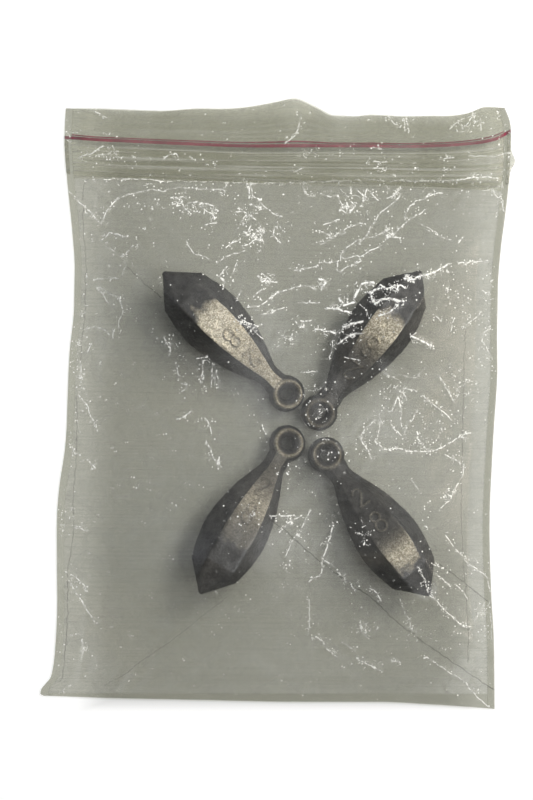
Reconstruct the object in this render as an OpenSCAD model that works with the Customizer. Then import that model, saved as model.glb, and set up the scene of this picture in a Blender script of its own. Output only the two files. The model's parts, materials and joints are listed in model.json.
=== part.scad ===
// Four cast bank sinkers in a resealable film bag that lies flat.
// Millimetres. +X is the bag's right, +Y points to its mouth and +Z is up.

/* [Bag] */
// Width over the two side seals
bag_w = 101.6; // [94:0.2:130]
// Length from the folded bottom to the top of the lips
bag_l = 135.6; // [126:0.2:170]
// Thickness of one layer of film
film_t = 0.1; // [0.06:0.01:0.2]
// Gap between the two layers where they lie flat on each other
layer_gap = 0.05; // [0.03:0.01:0.1]
// Width of the hot-cut seal down each side
seal_w = 1.6; // [1:0.1:3]
// Width of the flat margin between a side seal and the hollow
margin_w = 3.7; // [2.5:0.1:5]
// Length of the flattened fold across the bottom
fold_l = 2.3; // [1.5:0.1:4]

/* [Tent] */
// Height of the film over the middle of the pouch, between the sinkers
sag_h = 7.7; // [7:0.1:9]
// Width of that level middle
sag_w = 47; // [40:0.2:56]
// Length of that level middle
sag_l = 60.4; // [50:0.2:70]
// How far the film drawn over a sinker runs on past its nose, across the bag
skirt_w = 7.9; // [5:0.1:9]
// How far it runs on past the nose along the bag
skirt_l = 11.5; // [8:0.1:14]

/* [Zip] */
// Length of the lips above the zip strip
lip_l = 10.4; // [7:0.1:15]
// Width of the zip strip
zip_w = 7.6; // [6.8:0.1:10]
// Thickness of each half's web
web_t = 0.2; // [0.14:0.01:0.3]
// Clear height between the two webs when the zip is shut
zip_gap = 1; // [0.9:0.05:1.4]
// Width of the rib that the channel grips
rib_w = 0.9; // [0.6:0.05:1.2]
// Clearance from the rib to the channel's two jaws
jaw_gap = 0.55; // [0.5:0.05:0.8]
// Thickness of each jaw
jaw_t = 0.4; // [0.25:0.05:0.6]
// Play over the rib and under the jaws
zip_play = 0.12; // [0.08:0.01:0.2]
// Run of the slope from the pouch film to the web of each half
ramp_l = 2; // [1.5:0.1:2.5]
// Height of the two grip ridges on the front web, which slope at 45 degrees
ridge_h = 0.15; // [0.08:0.01:0.25]
// Length of the crushed and welded zip end, from the bag's edge
weld_l = 3.2; // [2.4:0.1:5]
// How far the crushed end bulges past the bag's edge
weld_bulge = 0.4; // [0.2:0.05:0.8]
// Length of that bulge along the edge
bulge_l = 2; // [1:0.1:4]
// Width of the coloured stripe on the front lip
stripe_w = 1; // [0.6:0.05:1.6]
// Width of the coloured stripe on the back lip
back_stripe_w = 0.5; // [0.3:0.05:0.9]
// Thickness of a coloured stripe
stripe_t = 0.12; // [0.06:0.01:0.25]
// Distance from the zip strip to the front lip's stripe
stripe_gap = 1; // [0.4:0.1:2]

/* [Sinkers] */
// Length of a sinker over its eye and nose
sinker_l = 43.4; // [38:0.1:46]
// Width of the body over its two side corners
body_w = 15; // [12:0.1:17]
// Thickness of the body over its flat faces
body_t = 10.8; // [9:0.1:13]
// Width of the neck below the eye
neck_w = 5.4; // [4:0.1:6.5]
// Thickness of the neck
neck_t = 4.4; // [3:0.1:5]
// Diameter of the eye at the parting line
eye_d = 8.3; // [7.4:0.1:10]
// Diameter of the flat face round the eye's hole
eye_face_d = 6.1; // [5.4:0.1:6.8]
// Thickness of the eye
eye_t = 4.8; // [4.6:0.1:6]
// Diameter of the hole at its narrowest
hole_d = 3; // [2:0.1:3.6]
// Diameter of the hole where it opens on each face
hole_mouth_d = 4.4; // [3.8:0.1:5]
// Length of the straight wall inside the hole
hole_land = 1.6; // [1:0.1:2.4]
// Length that a sinker can shift nose first in the bag
slide_l = 4; // [2:0.1:5]
// Gap between the nearest two eyes
eye_gap = 0.35; // [0.2:0.05:1]

/* [Fit] */
// Gap between the film and what moves under it
film_gap = 0.4; // [0.3:0.05:0.8]
// Gap between a sinker and the film that it lies on
seat_gap = 0.1; // [0.06:0.01:0.2]
// Gap between the pouch film and the film that opens with the mouth
hinge_gap = 0.2; // [0.1:0.05:0.4]
// Gap between what opens and the fixed film beside it
side_gap = 0.2; // [0.1:0.05:0.4]

/* [Hidden] */
$fn = 64;
// Overrun of every cut
cut = 1;

FILM_COLOUR = [0.62, 0.63, 0.58, 0.5];
SEAL_COLOUR = [0.7, 0.7, 0.66, 0.7];
STRIPE_COLOUR = [0.72, 0.2, 0.32];
LEAD_COLOUR = [0.3, 0.3, 0.31];

// Places across and along the bag
half_w = bag_w / 2;
seal_x = half_w - seal_w;
pouch_x = seal_x - margin_w;
weld_x = half_w - weld_l;
top_y = bag_l / 2;
bottom_y = -bag_l / 2;
fold_y = bottom_y + fold_l;
lip_y = top_y - lip_l;
pouch_y = lip_y - zip_w;
web_y = pouch_y + ramp_l;
rib_y = (web_y + lip_y) / 2;

// Levels above the surface that the bag lies on
front_z = film_t + layer_gap;
seal_z = front_z + film_t;
web_z = web_t + zip_gap;
rib_h = zip_gap - zip_play;

// The six-sided body: how far along from the eye's centre to the nose, and how
// much of the full section there is there. The neck has a section of its own.
reach = sinker_l - eye_d / 2;
neck_end_share = 0.145;
station_shares = [
    [0.232, 0.53], [0.3, 0.68], [0.405, 0.845], [0.522, 0.965],
    [0.614, 1], [0.712, 0.955], [0.85, 0.69]
];
// Width of a flat face, as a share of the width over the corners
facet_share = 0.49;
sections = concat(
    [[0, neck_w / 2, neck_t / 2], [neck_end_share * reach, neck_w / 2, neck_t / 2]],
    [for (s = station_shares) [s[0] * reach, s[1] * body_w / 2, s[1] * body_t / 2]]
);

// A sinker lies on the rim of its eye and on its belly, with its nose up.
eye_rim = eye_face_d / 2;
tilt = atan(max([for (s = sections) (s[2] - eye_t / 2) / (s[0] + eye_rim)]));
eye_z = film_t + seat_gap + eye_rim * sin(tilt) + eye_t / 2 * cos(tilt);

// The eyes meet in a cluster. Places are shares of the pitch of two eyes that
// nearly touch, and the cluster's own place is a share of the bag.
pitch = eye_d + eye_gap;
cluster_shares = [0.054, -0.036];
eye_place_shares = [[-0.501, 0.847], [0.376, 0.365], [-0.454, -0.459], [0.579, -0.753]];
headings = [137.5, 55.8, 239.6, 307];
cluster_x = cluster_shares[0] * bag_w;
cluster_y = cluster_shares[1] * bag_l;
eye_places = [for (p = eye_place_shares)
    [p[0] * pitch + cluster_x, p[1] * pitch + cluster_y]];

// The mouth opens about a line over the bellies of the upper two sinkers.
belly = sections[len(sections) - 2];
belly_ys = [for (i = [0, 1]) eye_places[i][1] + (belly[0] + slide_l) * sin(headings[i])];
hinge_y = max(belly_ys) + facet_share * belly[1];

// Shapes

// Puts what it holds where sinker i lies, moved nose first by the given shift.
module at_sinker(i, shift = 0) {
    way = [cos(headings[i]), sin(headings[i])];
    translate([eye_places[i][0] + shift * way[0], eye_places[i][1] + shift * way[1], eye_z])
        rotate([0, 0, headings[i]])
            rotate([0, -tilt, 0])
                children();
}

// Ring of six corners for one section: [place along, half width, half thickness]
function hexagon(s) = [
    [s[0], s[1] * facet_share, s[2]], [s[0], s[1], 0], [s[0], s[1] * facet_share, -s[2]],
    [s[0], -s[1] * facet_share, -s[2]], [s[0], -s[1], 0], [s[0], -s[1] * facet_share, s[2]]
];

// Body from the eye's centre to the pointed nose, with flat faces between sections
module sinker_body() {
    rings = len(sections);
    corners = concat([for (s = sections) each hexagon(s)], [[reach, 0, 0]]);
    last = 6 * (rings - 1);
    faces = concat(
        [[for (k = [5:-1:0]) k]],
        [for (r = [0:rings - 2], k = [0:5])
            [6 * r + k, 6 * r + (k + 1) % 6, 6 * r + 6 + (k + 1) % 6, 6 * r + 6 + k]],
        [for (k = [0:5]) [last + k, last + (k + 1) % 6, last + 6]]
    );
    polyhedron(corners, faces);
}

// Eye: a ring with a flat face on each side that slopes to the parting line
module eye_blank() {
    rotate_extrude()
        polygon([
            [0, -eye_t / 2], [eye_rim, -eye_t / 2], [eye_d / 2, 0],
            [eye_rim, eye_t / 2], [0, eye_t / 2]
        ]);
}

// Hole that narrows from both faces to a short straight wall
module eye_hole() {
    cylinder(d = hole_d, h = eye_t, center = true);
    flare = (eye_t - hole_land) / 2;
    grow = (hole_mouth_d - hole_d) / flare;
    for (side = [0, 180])
        rotate([side, 0, 0])
            translate([0, 0, hole_land / 2])
                cylinder(d1 = hole_d, d2 = hole_d + grow * (flare + cut), h = flare + cut);
}

module sinker(i) {
    color(LEAD_COLOUR)
        at_sinker(i)
            difference() {
                union() {
                    sinker_body();
                    eye_blank();
                }
                eye_hole();
            }
}

// Flat foot of a tent of film, from one corner to the other
module foot(x0, x1, y0, y1, lift, depth) {
    translate([min(x0, x1), min(y0, y1), front_z + lift - depth])
        cube([abs(x1 - x0), abs(y1 - y0), depth]);
}

// The pouch: film drawn over the sinkers from a flat rim, raised by lift. A low tent
// with a level middle spans the hollow, and the film is drawn up from it over every
// place that each sinker can take, so that it sags between the sinkers.
module pouch_solid(lift, depth) {
    hull() {
        foot(-pouch_x, pouch_x, fold_y, pouch_y, lift, depth);
        translate([cluster_x - sag_w / 2, cluster_y - sag_l / 2, front_z + lift])
            cube([sag_w, sag_l, sag_h - front_z]);
    }
    for (i = [0:3]) {
        far = reach * cos(tilt) + slide_l;
        nose_x = eye_places[i][0] + far * cos(headings[i]);
        nose_y = eye_places[i][1] + far * sin(headings[i]);
        foot_x = nose_x > cluster_x ? min(nose_x + skirt_w, pouch_x - side_gap)
            : max(nose_x - skirt_w, side_gap - pouch_x);
        foot_y = nose_y > cluster_y ? min(nose_y + skirt_l, pouch_y - side_gap)
            : max(nose_y - skirt_l, fold_y + side_gap);
        hull() {
            foot(cluster_x, foot_x, cluster_y, foot_y, lift, depth);
            for (shift = [0, slide_l])
                translate([0, 0, film_gap + lift])
                    at_sinker(i, shift)
                        sinker_body();
        }
    }
}

module pouch_shell() {
    difference() {
        pouch_solid(film_t, film_t);
        pouch_solid(0, cut);
    }
}

// Everything from one y to another
module band(from_y, to_y) {
    translate([-bag_w, from_y, -bag_l])
        cube([2 * bag_w, to_y - from_y, 2 * bag_l]);
}

// Flat strip between two places across and two along
module strip(x0, x1, y0, y1, z, t) {
    translate([x0, y0, z])
        cube([x1 - x0, y1 - y0, t]);
}

// An outline in y and z, run along x between two ends
module along_x(x0, x1) {
    translate([x0, 0, 0])
        rotate([90, 0, 90])
            linear_extrude(x1 - x0)
                children();
}

// Sub-parts of the bag

module back_film() {
    color(FILM_COLOUR)
        strip(-seal_x, seal_x, fold_y, pouch_y, 0, film_t);
}

module front_film() {
    color(FILM_COLOUR) {
        intersection() {
            pouch_shell();
            band(bottom_y, hinge_y - hinge_gap / 2);
        }
        for (side = [0, 1])
            mirror([side, 0, 0]) {
                strip(pouch_x - film_t, seal_x, fold_y, hinge_y - hinge_gap / 2, front_z, film_t);
                strip(pouch_x + side_gap, seal_x, fold_y, pouch_y, front_z, film_t);
            }
    }
}

module side_seal(side) {
    color(SEAL_COLOUR)
        mirror([side, 0, 0])
            strip(seal_x, half_w, bottom_y, top_y, 0, seal_z);
}

// The film turns back on itself, and the turn is pressed flat.
module bottom_fold() {
    color(SEAL_COLOUR)
        along_x(-seal_x, seal_x)
            union() {
                translate([bottom_y + seal_z / 2, 0])
                    square([fold_l - seal_z / 2, seal_z]);
                translate([bottom_y + seal_z / 2, seal_z / 2])
                    circle(d = seal_z);
            }
}

module back_zip() {
    color(FILM_COLOUR)
        along_x(-weld_x, weld_x)
            polygon([
                [pouch_y, 0], [lip_y, 0], [lip_y, web_t], [rib_y + rib_w / 2, web_t],
                [rib_y + rib_w / 2, web_t + rib_h], [rib_y - rib_w / 2, web_t + rib_h],
                [rib_y - rib_w / 2, web_t], [web_y, web_t], [pouch_y, film_t]
            ]);
}

module back_lip() {
    color(FILM_COLOUR)
        strip(-seal_x, seal_x, lip_y, top_y, 0, film_t);
}

// Two coloured stripes, one on each lip
stripe_y = lip_y + stripe_gap;

module back_stripe() {
    color(STRIPE_COLOUR)
        strip(-seal_x, seal_x, stripe_y + stripe_w, stripe_y + stripe_w + back_stripe_w,
            film_t, stripe_t);
}

// Crushed zip end. It wraps over the side seal and bulges past the edge.
module zip_weld(side) {
    color(SEAL_COLOUR)
        mirror([side, 0, 0])
            difference() {
                strip(weld_x, half_w + weld_bulge, pouch_y, lip_y, 0, web_z);
                strip(seal_x, half_w, bottom_y, top_y, -cut, seal_z + cut);
                strip(half_w - cut, half_w + weld_bulge + cut, pouch_y - cut,
                    rib_y - bulge_l / 2, -cut, web_z + 2 * cut);
                strip(half_w - cut, half_w + weld_bulge + cut, rib_y + bulge_l / 2,
                    lip_y + cut, -cut, web_z + 2 * cut);
            }
}

// Sub-parts that open with the mouth

module mouth_film() {
    color(FILM_COLOUR)
        intersection() {
            pouch_shell();
            band(hinge_y + hinge_gap / 2, top_y);
        }
}

module front_zip() {
    jaw_in = rib_w / 2 + jaw_gap;
    jaw_out = jaw_in + jaw_t;
    tip_z = web_t + zip_play;
    top_z = web_z + web_t;
    low_ridge = rib_y - jaw_out;
    high_ridge = rib_y + jaw_out;
    color(FILM_COLOUR)
        along_x(side_gap - weld_x, weld_x - side_gap)
            polygon([
                [pouch_y, front_z], [web_y, web_z],
                [rib_y - jaw_out, web_z], [rib_y - jaw_out, tip_z],
                [rib_y - jaw_in, tip_z], [rib_y - jaw_in, web_z],
                [rib_y + jaw_in, web_z], [rib_y + jaw_in, tip_z],
                [rib_y + jaw_out, tip_z], [rib_y + jaw_out, web_z],
                [lip_y, web_z], [lip_y, top_z],
                [high_ridge + ridge_h, top_z], [high_ridge, top_z + ridge_h],
                [high_ridge - ridge_h, top_z], [low_ridge + ridge_h, top_z],
                [low_ridge, top_z + ridge_h], [low_ridge - ridge_h, top_z],
                [web_y, top_z], [pouch_y, front_z + film_t]
            ]);
}

module front_lip() {
    color(FILM_COLOUR)
        strip(side_gap - seal_x, seal_x - side_gap, lip_y, top_y, web_z, film_t);
}

module front_stripe() {
    color(STRIPE_COLOUR)
        strip(side_gap - seal_x, seal_x - side_gap, stripe_y, stripe_y + stripe_w,
            web_z + film_t, stripe_t);
}

back_film();
front_film();
side_seal(1);  // left_seal
side_seal(0);  // right_seal
bottom_fold();
back_zip();
back_lip();
back_stripe();
zip_weld(1);  // left_zip_weld
zip_weld(0);  // right_zip_weld
mouth_film();
front_zip();
front_lip();
front_stripe();
sinker(0);  // upper_left_sinker
sinker(1);  // upper_right_sinker
sinker(2);  // lower_left_sinker
sinker(3);  // lower_right_sinker
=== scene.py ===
"""Four cast bank sinkers in a crumpled grip-seal film bag, seen from above."""
import json
import math

import bpy
import numpy as np
from mathutils import Matrix, Vector


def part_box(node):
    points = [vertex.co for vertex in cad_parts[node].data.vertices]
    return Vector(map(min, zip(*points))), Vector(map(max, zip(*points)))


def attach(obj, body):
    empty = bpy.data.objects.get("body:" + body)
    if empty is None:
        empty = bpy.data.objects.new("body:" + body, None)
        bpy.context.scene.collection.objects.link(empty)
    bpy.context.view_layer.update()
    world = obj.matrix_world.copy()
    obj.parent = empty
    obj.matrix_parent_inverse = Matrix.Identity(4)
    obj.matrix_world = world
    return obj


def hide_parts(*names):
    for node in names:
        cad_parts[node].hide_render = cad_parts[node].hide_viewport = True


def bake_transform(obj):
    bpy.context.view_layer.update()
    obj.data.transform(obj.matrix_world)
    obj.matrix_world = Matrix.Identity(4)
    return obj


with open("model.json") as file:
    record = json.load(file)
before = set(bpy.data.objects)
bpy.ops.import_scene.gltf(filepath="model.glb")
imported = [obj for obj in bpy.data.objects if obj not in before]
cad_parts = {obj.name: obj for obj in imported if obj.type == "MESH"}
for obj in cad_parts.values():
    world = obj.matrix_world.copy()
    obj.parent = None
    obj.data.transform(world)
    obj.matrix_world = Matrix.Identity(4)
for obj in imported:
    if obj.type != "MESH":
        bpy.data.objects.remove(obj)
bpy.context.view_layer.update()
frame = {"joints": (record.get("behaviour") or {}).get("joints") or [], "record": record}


# The view
# The bag is seen from above, from 8 degrees to its left, and it lies turned by one degree in
# the picture. The picture is 533 x 800 and takes in 181 mm from top to bottom.
MM = 0.001
LEAN = math.radians(8)
TURN = math.radians(1)
CAMERA_DISTANCE = 600 * MM
PICTURE_HEIGHT = 181 * MM
PICTURE_CENTRE = Vector((-2.9 * MM, 0.9 * MM, 0))
FILM_BACK = 24
NEAREST_SEEN = 10 * MM
# A line of sight may pass this many faces of clear film
FILM_FACES = 24

towards_camera = Vector((-math.sin(LEAN) * math.cos(TURN), -math.sin(LEAN) * math.sin(TURN), math.cos(LEAN)))
picture_up = Vector((-math.sin(TURN), math.cos(TURN), 0))
camera = bpy.data.objects.new("camera", bpy.data.cameras.new("camera"))
camera.data.sensor_fit = "VERTICAL"
camera.data.sensor_height = FILM_BACK
camera.data.lens = FILM_BACK * CAMERA_DISTANCE / PICTURE_HEIGHT
camera.data.clip_start = NEAREST_SEEN
place = Matrix((picture_up.cross(towards_camera), picture_up, towards_camera)).transposed().to_4x4()
place.translation = PICTURE_CENTRE + CAMERA_DISTANCE * towards_camera
camera.matrix_world = place
bpy.context.collection.objects.link(camera)
bpy.context.scene.camera = camera
bpy.context.scene.view_settings.view_transform = "Standard"
bpy.context.scene.cycles.transparent_max_bounces = FILM_FACES


# The floor and the light
# A pale floor in a dim room, with a soft window at the right and a glow that the lead's
# top faces show. A key and a fill lamp light the bag, and a ring of small lamps makes glints.
# Round the bag the floor's camera-only glow fades, which paints a soft shadow below its bottom edge.
FLOOR_SIZE = 3.0
FLOOR_DROP = 0.05 * MM
FLOOR_PAINT = "#ebebe9"
# All rays but the camera's meet this duller paint, so the film gets less light from below
DULL_PAINT = "#b2b2ac"
# The floor's own glow, which only the camera sees: none under the bag, and full past a ramp.
# The ramp starts this many millimetres from the bag's middle, across and along, and is so wide.
# Below the bag's bottom edge the ramp leaves a soft grey band, a painted shadow.
FLOOR_GLOW = 0.34
BAG_MIDDLE = (1.2, -1.5)
GLOW_START = (37, 65)
GLOW_RAMP = (11, 4)
# The room is brightest towards one wall, dim behind, and darkest overhead. A spot's two
# angles, in degrees from its middle, are where it ends and where it is full.
ROOM_WAY = (0.4, 0.9, 0.2)
ROOM_DEGREES = (140, 30)
FAR_WALL = 0.34
NEAR_WALL = 0.07
DARK_SHARE = 0.2
DARK_DEGREES = (58, 22)
WINDOW_WAY = (0.72, 0.25, 0.65)
WINDOW_DEGREES = (46, 12)
WINDOW_STRENGTH = 0.8
GLOW_WAY = (0.40, -0.20, 0.894)
GLOW_DEGREES = (19, 3)
GLOW_STRENGTH = 2.6
# The ring of glint lamps: how many, how far its middle leans to the right, and by how many
# degrees the first is off straight above and the next two are more. It starts 0.3 of a step on.
GLINT_LAMPS = 7
GLINT_LEAN = 0.14
GLINT_SLOPE = 20
GLINT_SPREAD = 9


def linear(colour):
    """The linear values of a colour written as an sRGB hex value."""
    parts = [int(colour[i:i + 2], 16) / 255 for i in (1, 3, 5)]
    return [p / 12.92 if p <= 0.04045 else ((p + 0.055) / 1.055) ** 2.4 for p in parts] + [1.0]


def add(tree, kind, inputs=None, **settings):
    """Add a node. Each of its inputs is a value, or for a link a node whose first output is
    meant, or else the pair of a node and its output's name."""
    node = tree.nodes.new("ShaderNode" + kind)
    for key, value in settings.items():
        setattr(node, key, value)
    for key, value in (inputs or {}).items():
        source = value if isinstance(value, tuple) else (value, 0)
        if isinstance(source[0], bpy.types.Node):
            tree.links.new(source[0].outputs[source[1]], node.inputs[key])
        else:
            node.inputs[key].default_value = value
    return node


def new_material(name):
    """A material with an empty node tree and its output node."""
    material = bpy.data.materials.new(name)
    material.use_nodes = True
    material.node_tree.nodes.clear()
    return material, material.node_tree, material.node_tree.nodes.new("ShaderNodeOutputMaterial")


floor_white, tree, out = new_material("white_board_with_painted_shadow")
where = add(tree, "TexCoord")
moved = add(tree, "VectorMath", {0: (where, "Object"), 1: (BAG_MIDDLE[0] * MM, BAG_MIDDLE[1] * MM, 0)},
            operation="SUBTRACT")
apart = add(tree, "VectorMath", {0: moved}, operation="ABSOLUTE")
past = add(tree, "VectorMath", {0: apart, 1: (GLOW_START[0] * MM, GLOW_START[1] * MM, 0)},
           operation="SUBTRACT")
steps = add(tree, "VectorMath", {0: past, 1: (GLOW_RAMP[0] * MM, GLOW_RAMP[1] * MM, 1)}, operation="DIVIDE")
sides = add(tree, "SeparateXYZ", {"Vector": steps})
outside = add(tree, "Math", {0: (sides, "X"), 1: (sides, "Y")}, operation="MAXIMUM")
# Where the glow is less beside the bag, the floor shows a painted shadow
level = add(tree, "MapRange", {"Value": outside, "To Max": FLOOR_GLOW}, interpolation_type="SMOOTHSTEP")
paint = add(tree, "BsdfDiffuse", {"Color": linear(FLOOR_PAINT)})
glow = add(tree, "Emission", {"Color": linear("#ffffff"), "Strength": level})
both = add(tree, "AddShader", {0: paint, 1: glow})
dull = add(tree, "BsdfDiffuse", {"Color": linear(DULL_PAINT)})
rays = add(tree, "LightPath")
shown = add(tree, "MixShader", {"Fac": (rays, "Is Camera Ray"), 1: dull, 2: both})
tree.links.new(shown.outputs[0], out.inputs["Surface"])
corners = [(x * FLOOR_SIZE, y * FLOOR_SIZE, -FLOOR_DROP) for x, y in ((-1, -1), (1, -1), (1, 1), (-1, 1))]
mesh = bpy.data.meshes.new("floor")
mesh.from_pydata(corners, [], [(0, 1, 2, 3)])
mesh.materials.append(floor_white)
floor = bpy.data.objects.new("floor", mesh)
bpy.context.collection.objects.link(floor)

world = bpy.data.worlds.new("pale_sky")
world.use_nodes = True
bpy.context.scene.world = world
world.node_tree.nodes.clear()


def sky_spot(way, degrees, edge, middle):
    """A round soft-edged spot in the sky: one value at its middle, another past its edge, and a
    smooth step of the cosine of the angle between."""
    looks = add(world.node_tree, "TexCoord")
    near = add(world.node_tree, "VectorMath", {0: (looks, "Generated"), 1: Vector(way).normalized()[:]},
               operation="DOT_PRODUCT")
    wide, tight = (math.cos(math.radians(angle)) for angle in degrees)
    reach = {"From Min": wide, "From Max": tight, "To Min": edge, "To Max": middle}
    return add(world.node_tree, "MapRange", {"Value": (near, "Value"), **reach},
               interpolation_type="SMOOTHSTEP")


overhead = (-towards_camera.x, -towards_camera.y, towards_camera.z)
room = sky_spot(ROOM_WAY, ROOM_DEGREES, NEAR_WALL, FAR_WALL)
shade = sky_spot(overhead, DARK_DEGREES, 1.0, DARK_SHARE)
dim = add(world.node_tree, "Math", {0: room, 1: shade}, operation="MULTIPLY")
window = sky_spot(WINDOW_WAY, WINDOW_DEGREES, 0.0, WINDOW_STRENGTH)
sheen = sky_spot(GLOW_WAY, GLOW_DEGREES, 0.0, GLOW_STRENGTH)
spots = add(world.node_tree, "Math", {0: window, 1: sheen}, operation="ADD")
whole = add(world.node_tree, "Math", {0: dim, 1: spots}, operation="ADD")
sky = add(world.node_tree, "Background", {"Color": linear("#f4f5f6"), "Strength": whole})
ground = world.node_tree.nodes.new("ShaderNodeOutputWorld")
world.node_tree.links.new(sky.outputs[0], ground.inputs["Surface"])


def lamp(name, way, distance, size, share, colour, mirrored=True, lights=True):
    """A square lamp that faces the bag, with its distance and size in metres. Its share is the
    light it gives, of a full daylight level of 1: its power is share x (pi x distance) squared."""
    data = bpy.data.lights.new(name, "AREA")
    data.size = size
    data.color = linear(colour)[:3]
    data.energy = share * math.pi * math.pi * distance ** 2
    lit = bpy.data.objects.new(name, data)
    way = Vector(way).normalized()
    lit.location = way * distance
    lit.rotation_euler = way.to_track_quat("Z", "Y").to_euler()
    lit.visible_glossy = mirrored
    lit.visible_diffuse = lights
    bpy.context.collection.objects.link(lit)


lamp("key_lamp", (0.55, 0.5, 0.67), 0.45, 0.2, 0.48, "#fffdf8", mirrored=False)
lamp("fill_lamp", (-0.3, 0.4, 0.85), 0.55, 0.5, 0.36, "#f6f8ff", mirrored=False)
lamp("right_window", (0.92, -0.05, 0.36), 0.8, 0.3, 0.13, "#fff0dc")
lamp("left_window", (-0.78, 0.15, 0.6), 0.8, 0.3, 0.05, "#eef2ff")
for k in range(GLINT_LAMPS):
    turn = 2 * math.pi * (k + 0.3) / GLINT_LAMPS
    slope = math.radians(GLINT_SLOPE + GLINT_SPREAD * (k % 3))
    way = (GLINT_LEAN + math.cos(turn) * math.sin(slope), math.sin(turn) * math.sin(slope), math.cos(slope))
    colour = "#fff0d8" if k % 3 == 1 else "#ffffff"
    lamp("glint_lamp_" + str(k), way, 0.9, 0.04, 0.02, colour, lights=False)


# The sinkers
# Four equal bank sinkers, each one casting of lead: a six-sided body between a pointed nose
# and a narrow neck, and an eye with a tapered ring round a hole that widens to both faces.
# They are poured in a two-part mould, so their edges are soft and their skin is grainy.
NAMES = ("upper_left", "upper_right", "lower_left", "lower_right")
# All lengths from here on are in millimetres, along a casting from the middle of its eye
NOSE = 39.25
# The flat top's share of the width, and the power of the norm that rounds the edges
FACET_SHARE = 0.49
EDGE_SOFTNESS = 44
# Half width and half thickness at places along the axis. Past them the nose is a short
# pyramid: straight lines to the blunt tip cut both off at a crisp edge.
ALONG = [2.4, 5.7, 9.1, 11.8, 15.9, 20.5, 24.1, 27.9, 31.0, 33.4, 39.25]
HALF_WIDTH = [3.0, 2.7, 3.85, 4.95, 6.25, 7.2, 7.5, 7.15, 6.55, 5.95, 4.4]
HALF_THICK = [2.2, 2.15, 2.75, 3.55, 4.5, 5.2, 5.4, 5.25, 5.0, 4.8, 4.4]
TIP = 0.35
NOSE_WIDTH_SLOPE = 0.93
NOSE_THICK_SLOPE = 0.42
EYE_RADIUS = 4.15
RIM_RADIUS = 2.95
RIM_HEIGHT = 2.45
# The upper half of the eye's section, from the hole's waist out: radius and height
EYE_SECTION = [(1.4, 0.8), (1.6, 1.25), (2.6, 2.1), (RIM_RADIUS, RIM_HEIGHT), (3.2, 2.25), (EYE_RADIUS, 0.3)]
# The numerals on the top face: the bent line of a 2, and the two rings of an 8 with where
# each is along the axis and its radius. Then half the width of a stroke, and its soft edge.
TWO = [(10.7, -1.0), (10.1, -0.5), (9.95, 0.2), (10.4, 0.9), (11.3, 0.9), (12.6, 0.0), (14.0, -1.15),
       (14.0, 1.2)]
EIGHT = [(17.6, 1.05), (19.9, 1.25)]
STROKE = 0.42
STROKE_EDGE = 0.3
NUMERAL_HEIGHT = 0.28
VOXEL = 0.16


def curve(x, xs, ys):
    """A smooth curve through given points: cubic pieces whose slope at a point is the mean of
    the straight slopes on both sides, and nought where the points turn back."""
    xs, ys = np.asarray(xs, float), np.asarray(ys, float)
    steps = np.diff(ys) / np.diff(xs)
    slope = np.concatenate([steps[:1], (steps[1:] + steps[:-1]) / 2, steps[-1:]])
    turns = np.concatenate([[False], steps[1:] * steps[:-1] <= 0, [False]])
    slope = np.where(turns, 0, slope)
    x = np.clip(x, xs[0], xs[-1])
    i = np.clip(np.searchsorted(xs, x) - 1, 0, len(xs) - 2)
    h = xs[i + 1] - xs[i]
    t = (x - xs[i]) / h
    return ((1 + 2 * t) * (1 - t) ** 2 * ys[i] + t * (1 - t) ** 2 * h * slope[i]
            + t * t * (3 - 2 * t) * ys[i + 1] + t * t * (t - 1) * h * slope[i + 1])


def ring_faces(rows, columns):
    """Quads between neighbouring rows of points that close round after the last column."""
    r, c = np.meshgrid(np.arange(rows - 1), np.arange(columns), indexing="ij")
    a, b = r * columns + c, r * columns + (c + 1) % columns
    return np.stack([a, b, b + columns, a + columns], -1).reshape(-1, 4)


def section(s):
    """Half width and half thickness of the body at s: the smooth curve, or the nose where it is less."""
    to_tip = NOSE - np.clip(s, 0, NOSE)
    return (np.minimum(curve(s, ALONG, HALF_WIDTH), TIP + NOSE_WIDTH_SLOPE * to_tip),
            np.minimum(curve(s, ALONG, HALF_THICK), TIP + NOSE_THICK_SLOPE * to_tip))


def body_points():
    """The six-sided body: 90 sections of 144 points as far as s = 36, and 14 closer ones to the
    tip. Round each section a point's distance is 1 / p-norm of its distances to the flat planes
    z = thickness and to the sloping planes through the side edges. The upward part of the
    sloping one is the root of its square and 0.02 squared, which blunts the parting line."""
    s = np.concatenate([np.linspace(ALONG[0], 36, 90), np.linspace(36.2, NOSE, 14)])[:, None]
    angle = np.linspace(0, 2 * math.pi, 144, endpoint=False)[None]
    w, t = section(s)
    across, up = np.abs(np.cos(angle)), np.abs(np.sin(angle))
    level = up / t
    slope = across / w + np.sqrt(up ** 2 + 0.0004) * (1 - FACET_SHARE) / t
    radius = (level ** EDGE_SOFTNESS + slope ** EDGE_SOFTNESS) ** (-1 / EDGE_SOFTNESS)
    return np.stack([s + 0 * angle, radius * np.cos(angle), radius * np.sin(angle)], -1)


def eye_points():
    """The eye: its section's upper half, the same mirrored below, and the first point again,
    turned round the hole's axis in 96 steps."""
    lower_half = [(r, -z) for r, z in EYE_SECTION[::-1]]
    outline = np.array(EYE_SECTION + lower_half + EYE_SECTION[:1])
    angle = np.linspace(0, 2 * math.pi, 96, endpoint=False)[None]
    r, z = outline[:, :1], outline[:, 1:]
    return np.stack([r * np.cos(angle), r * np.sin(angle), z + 0 * angle], -1)


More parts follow.
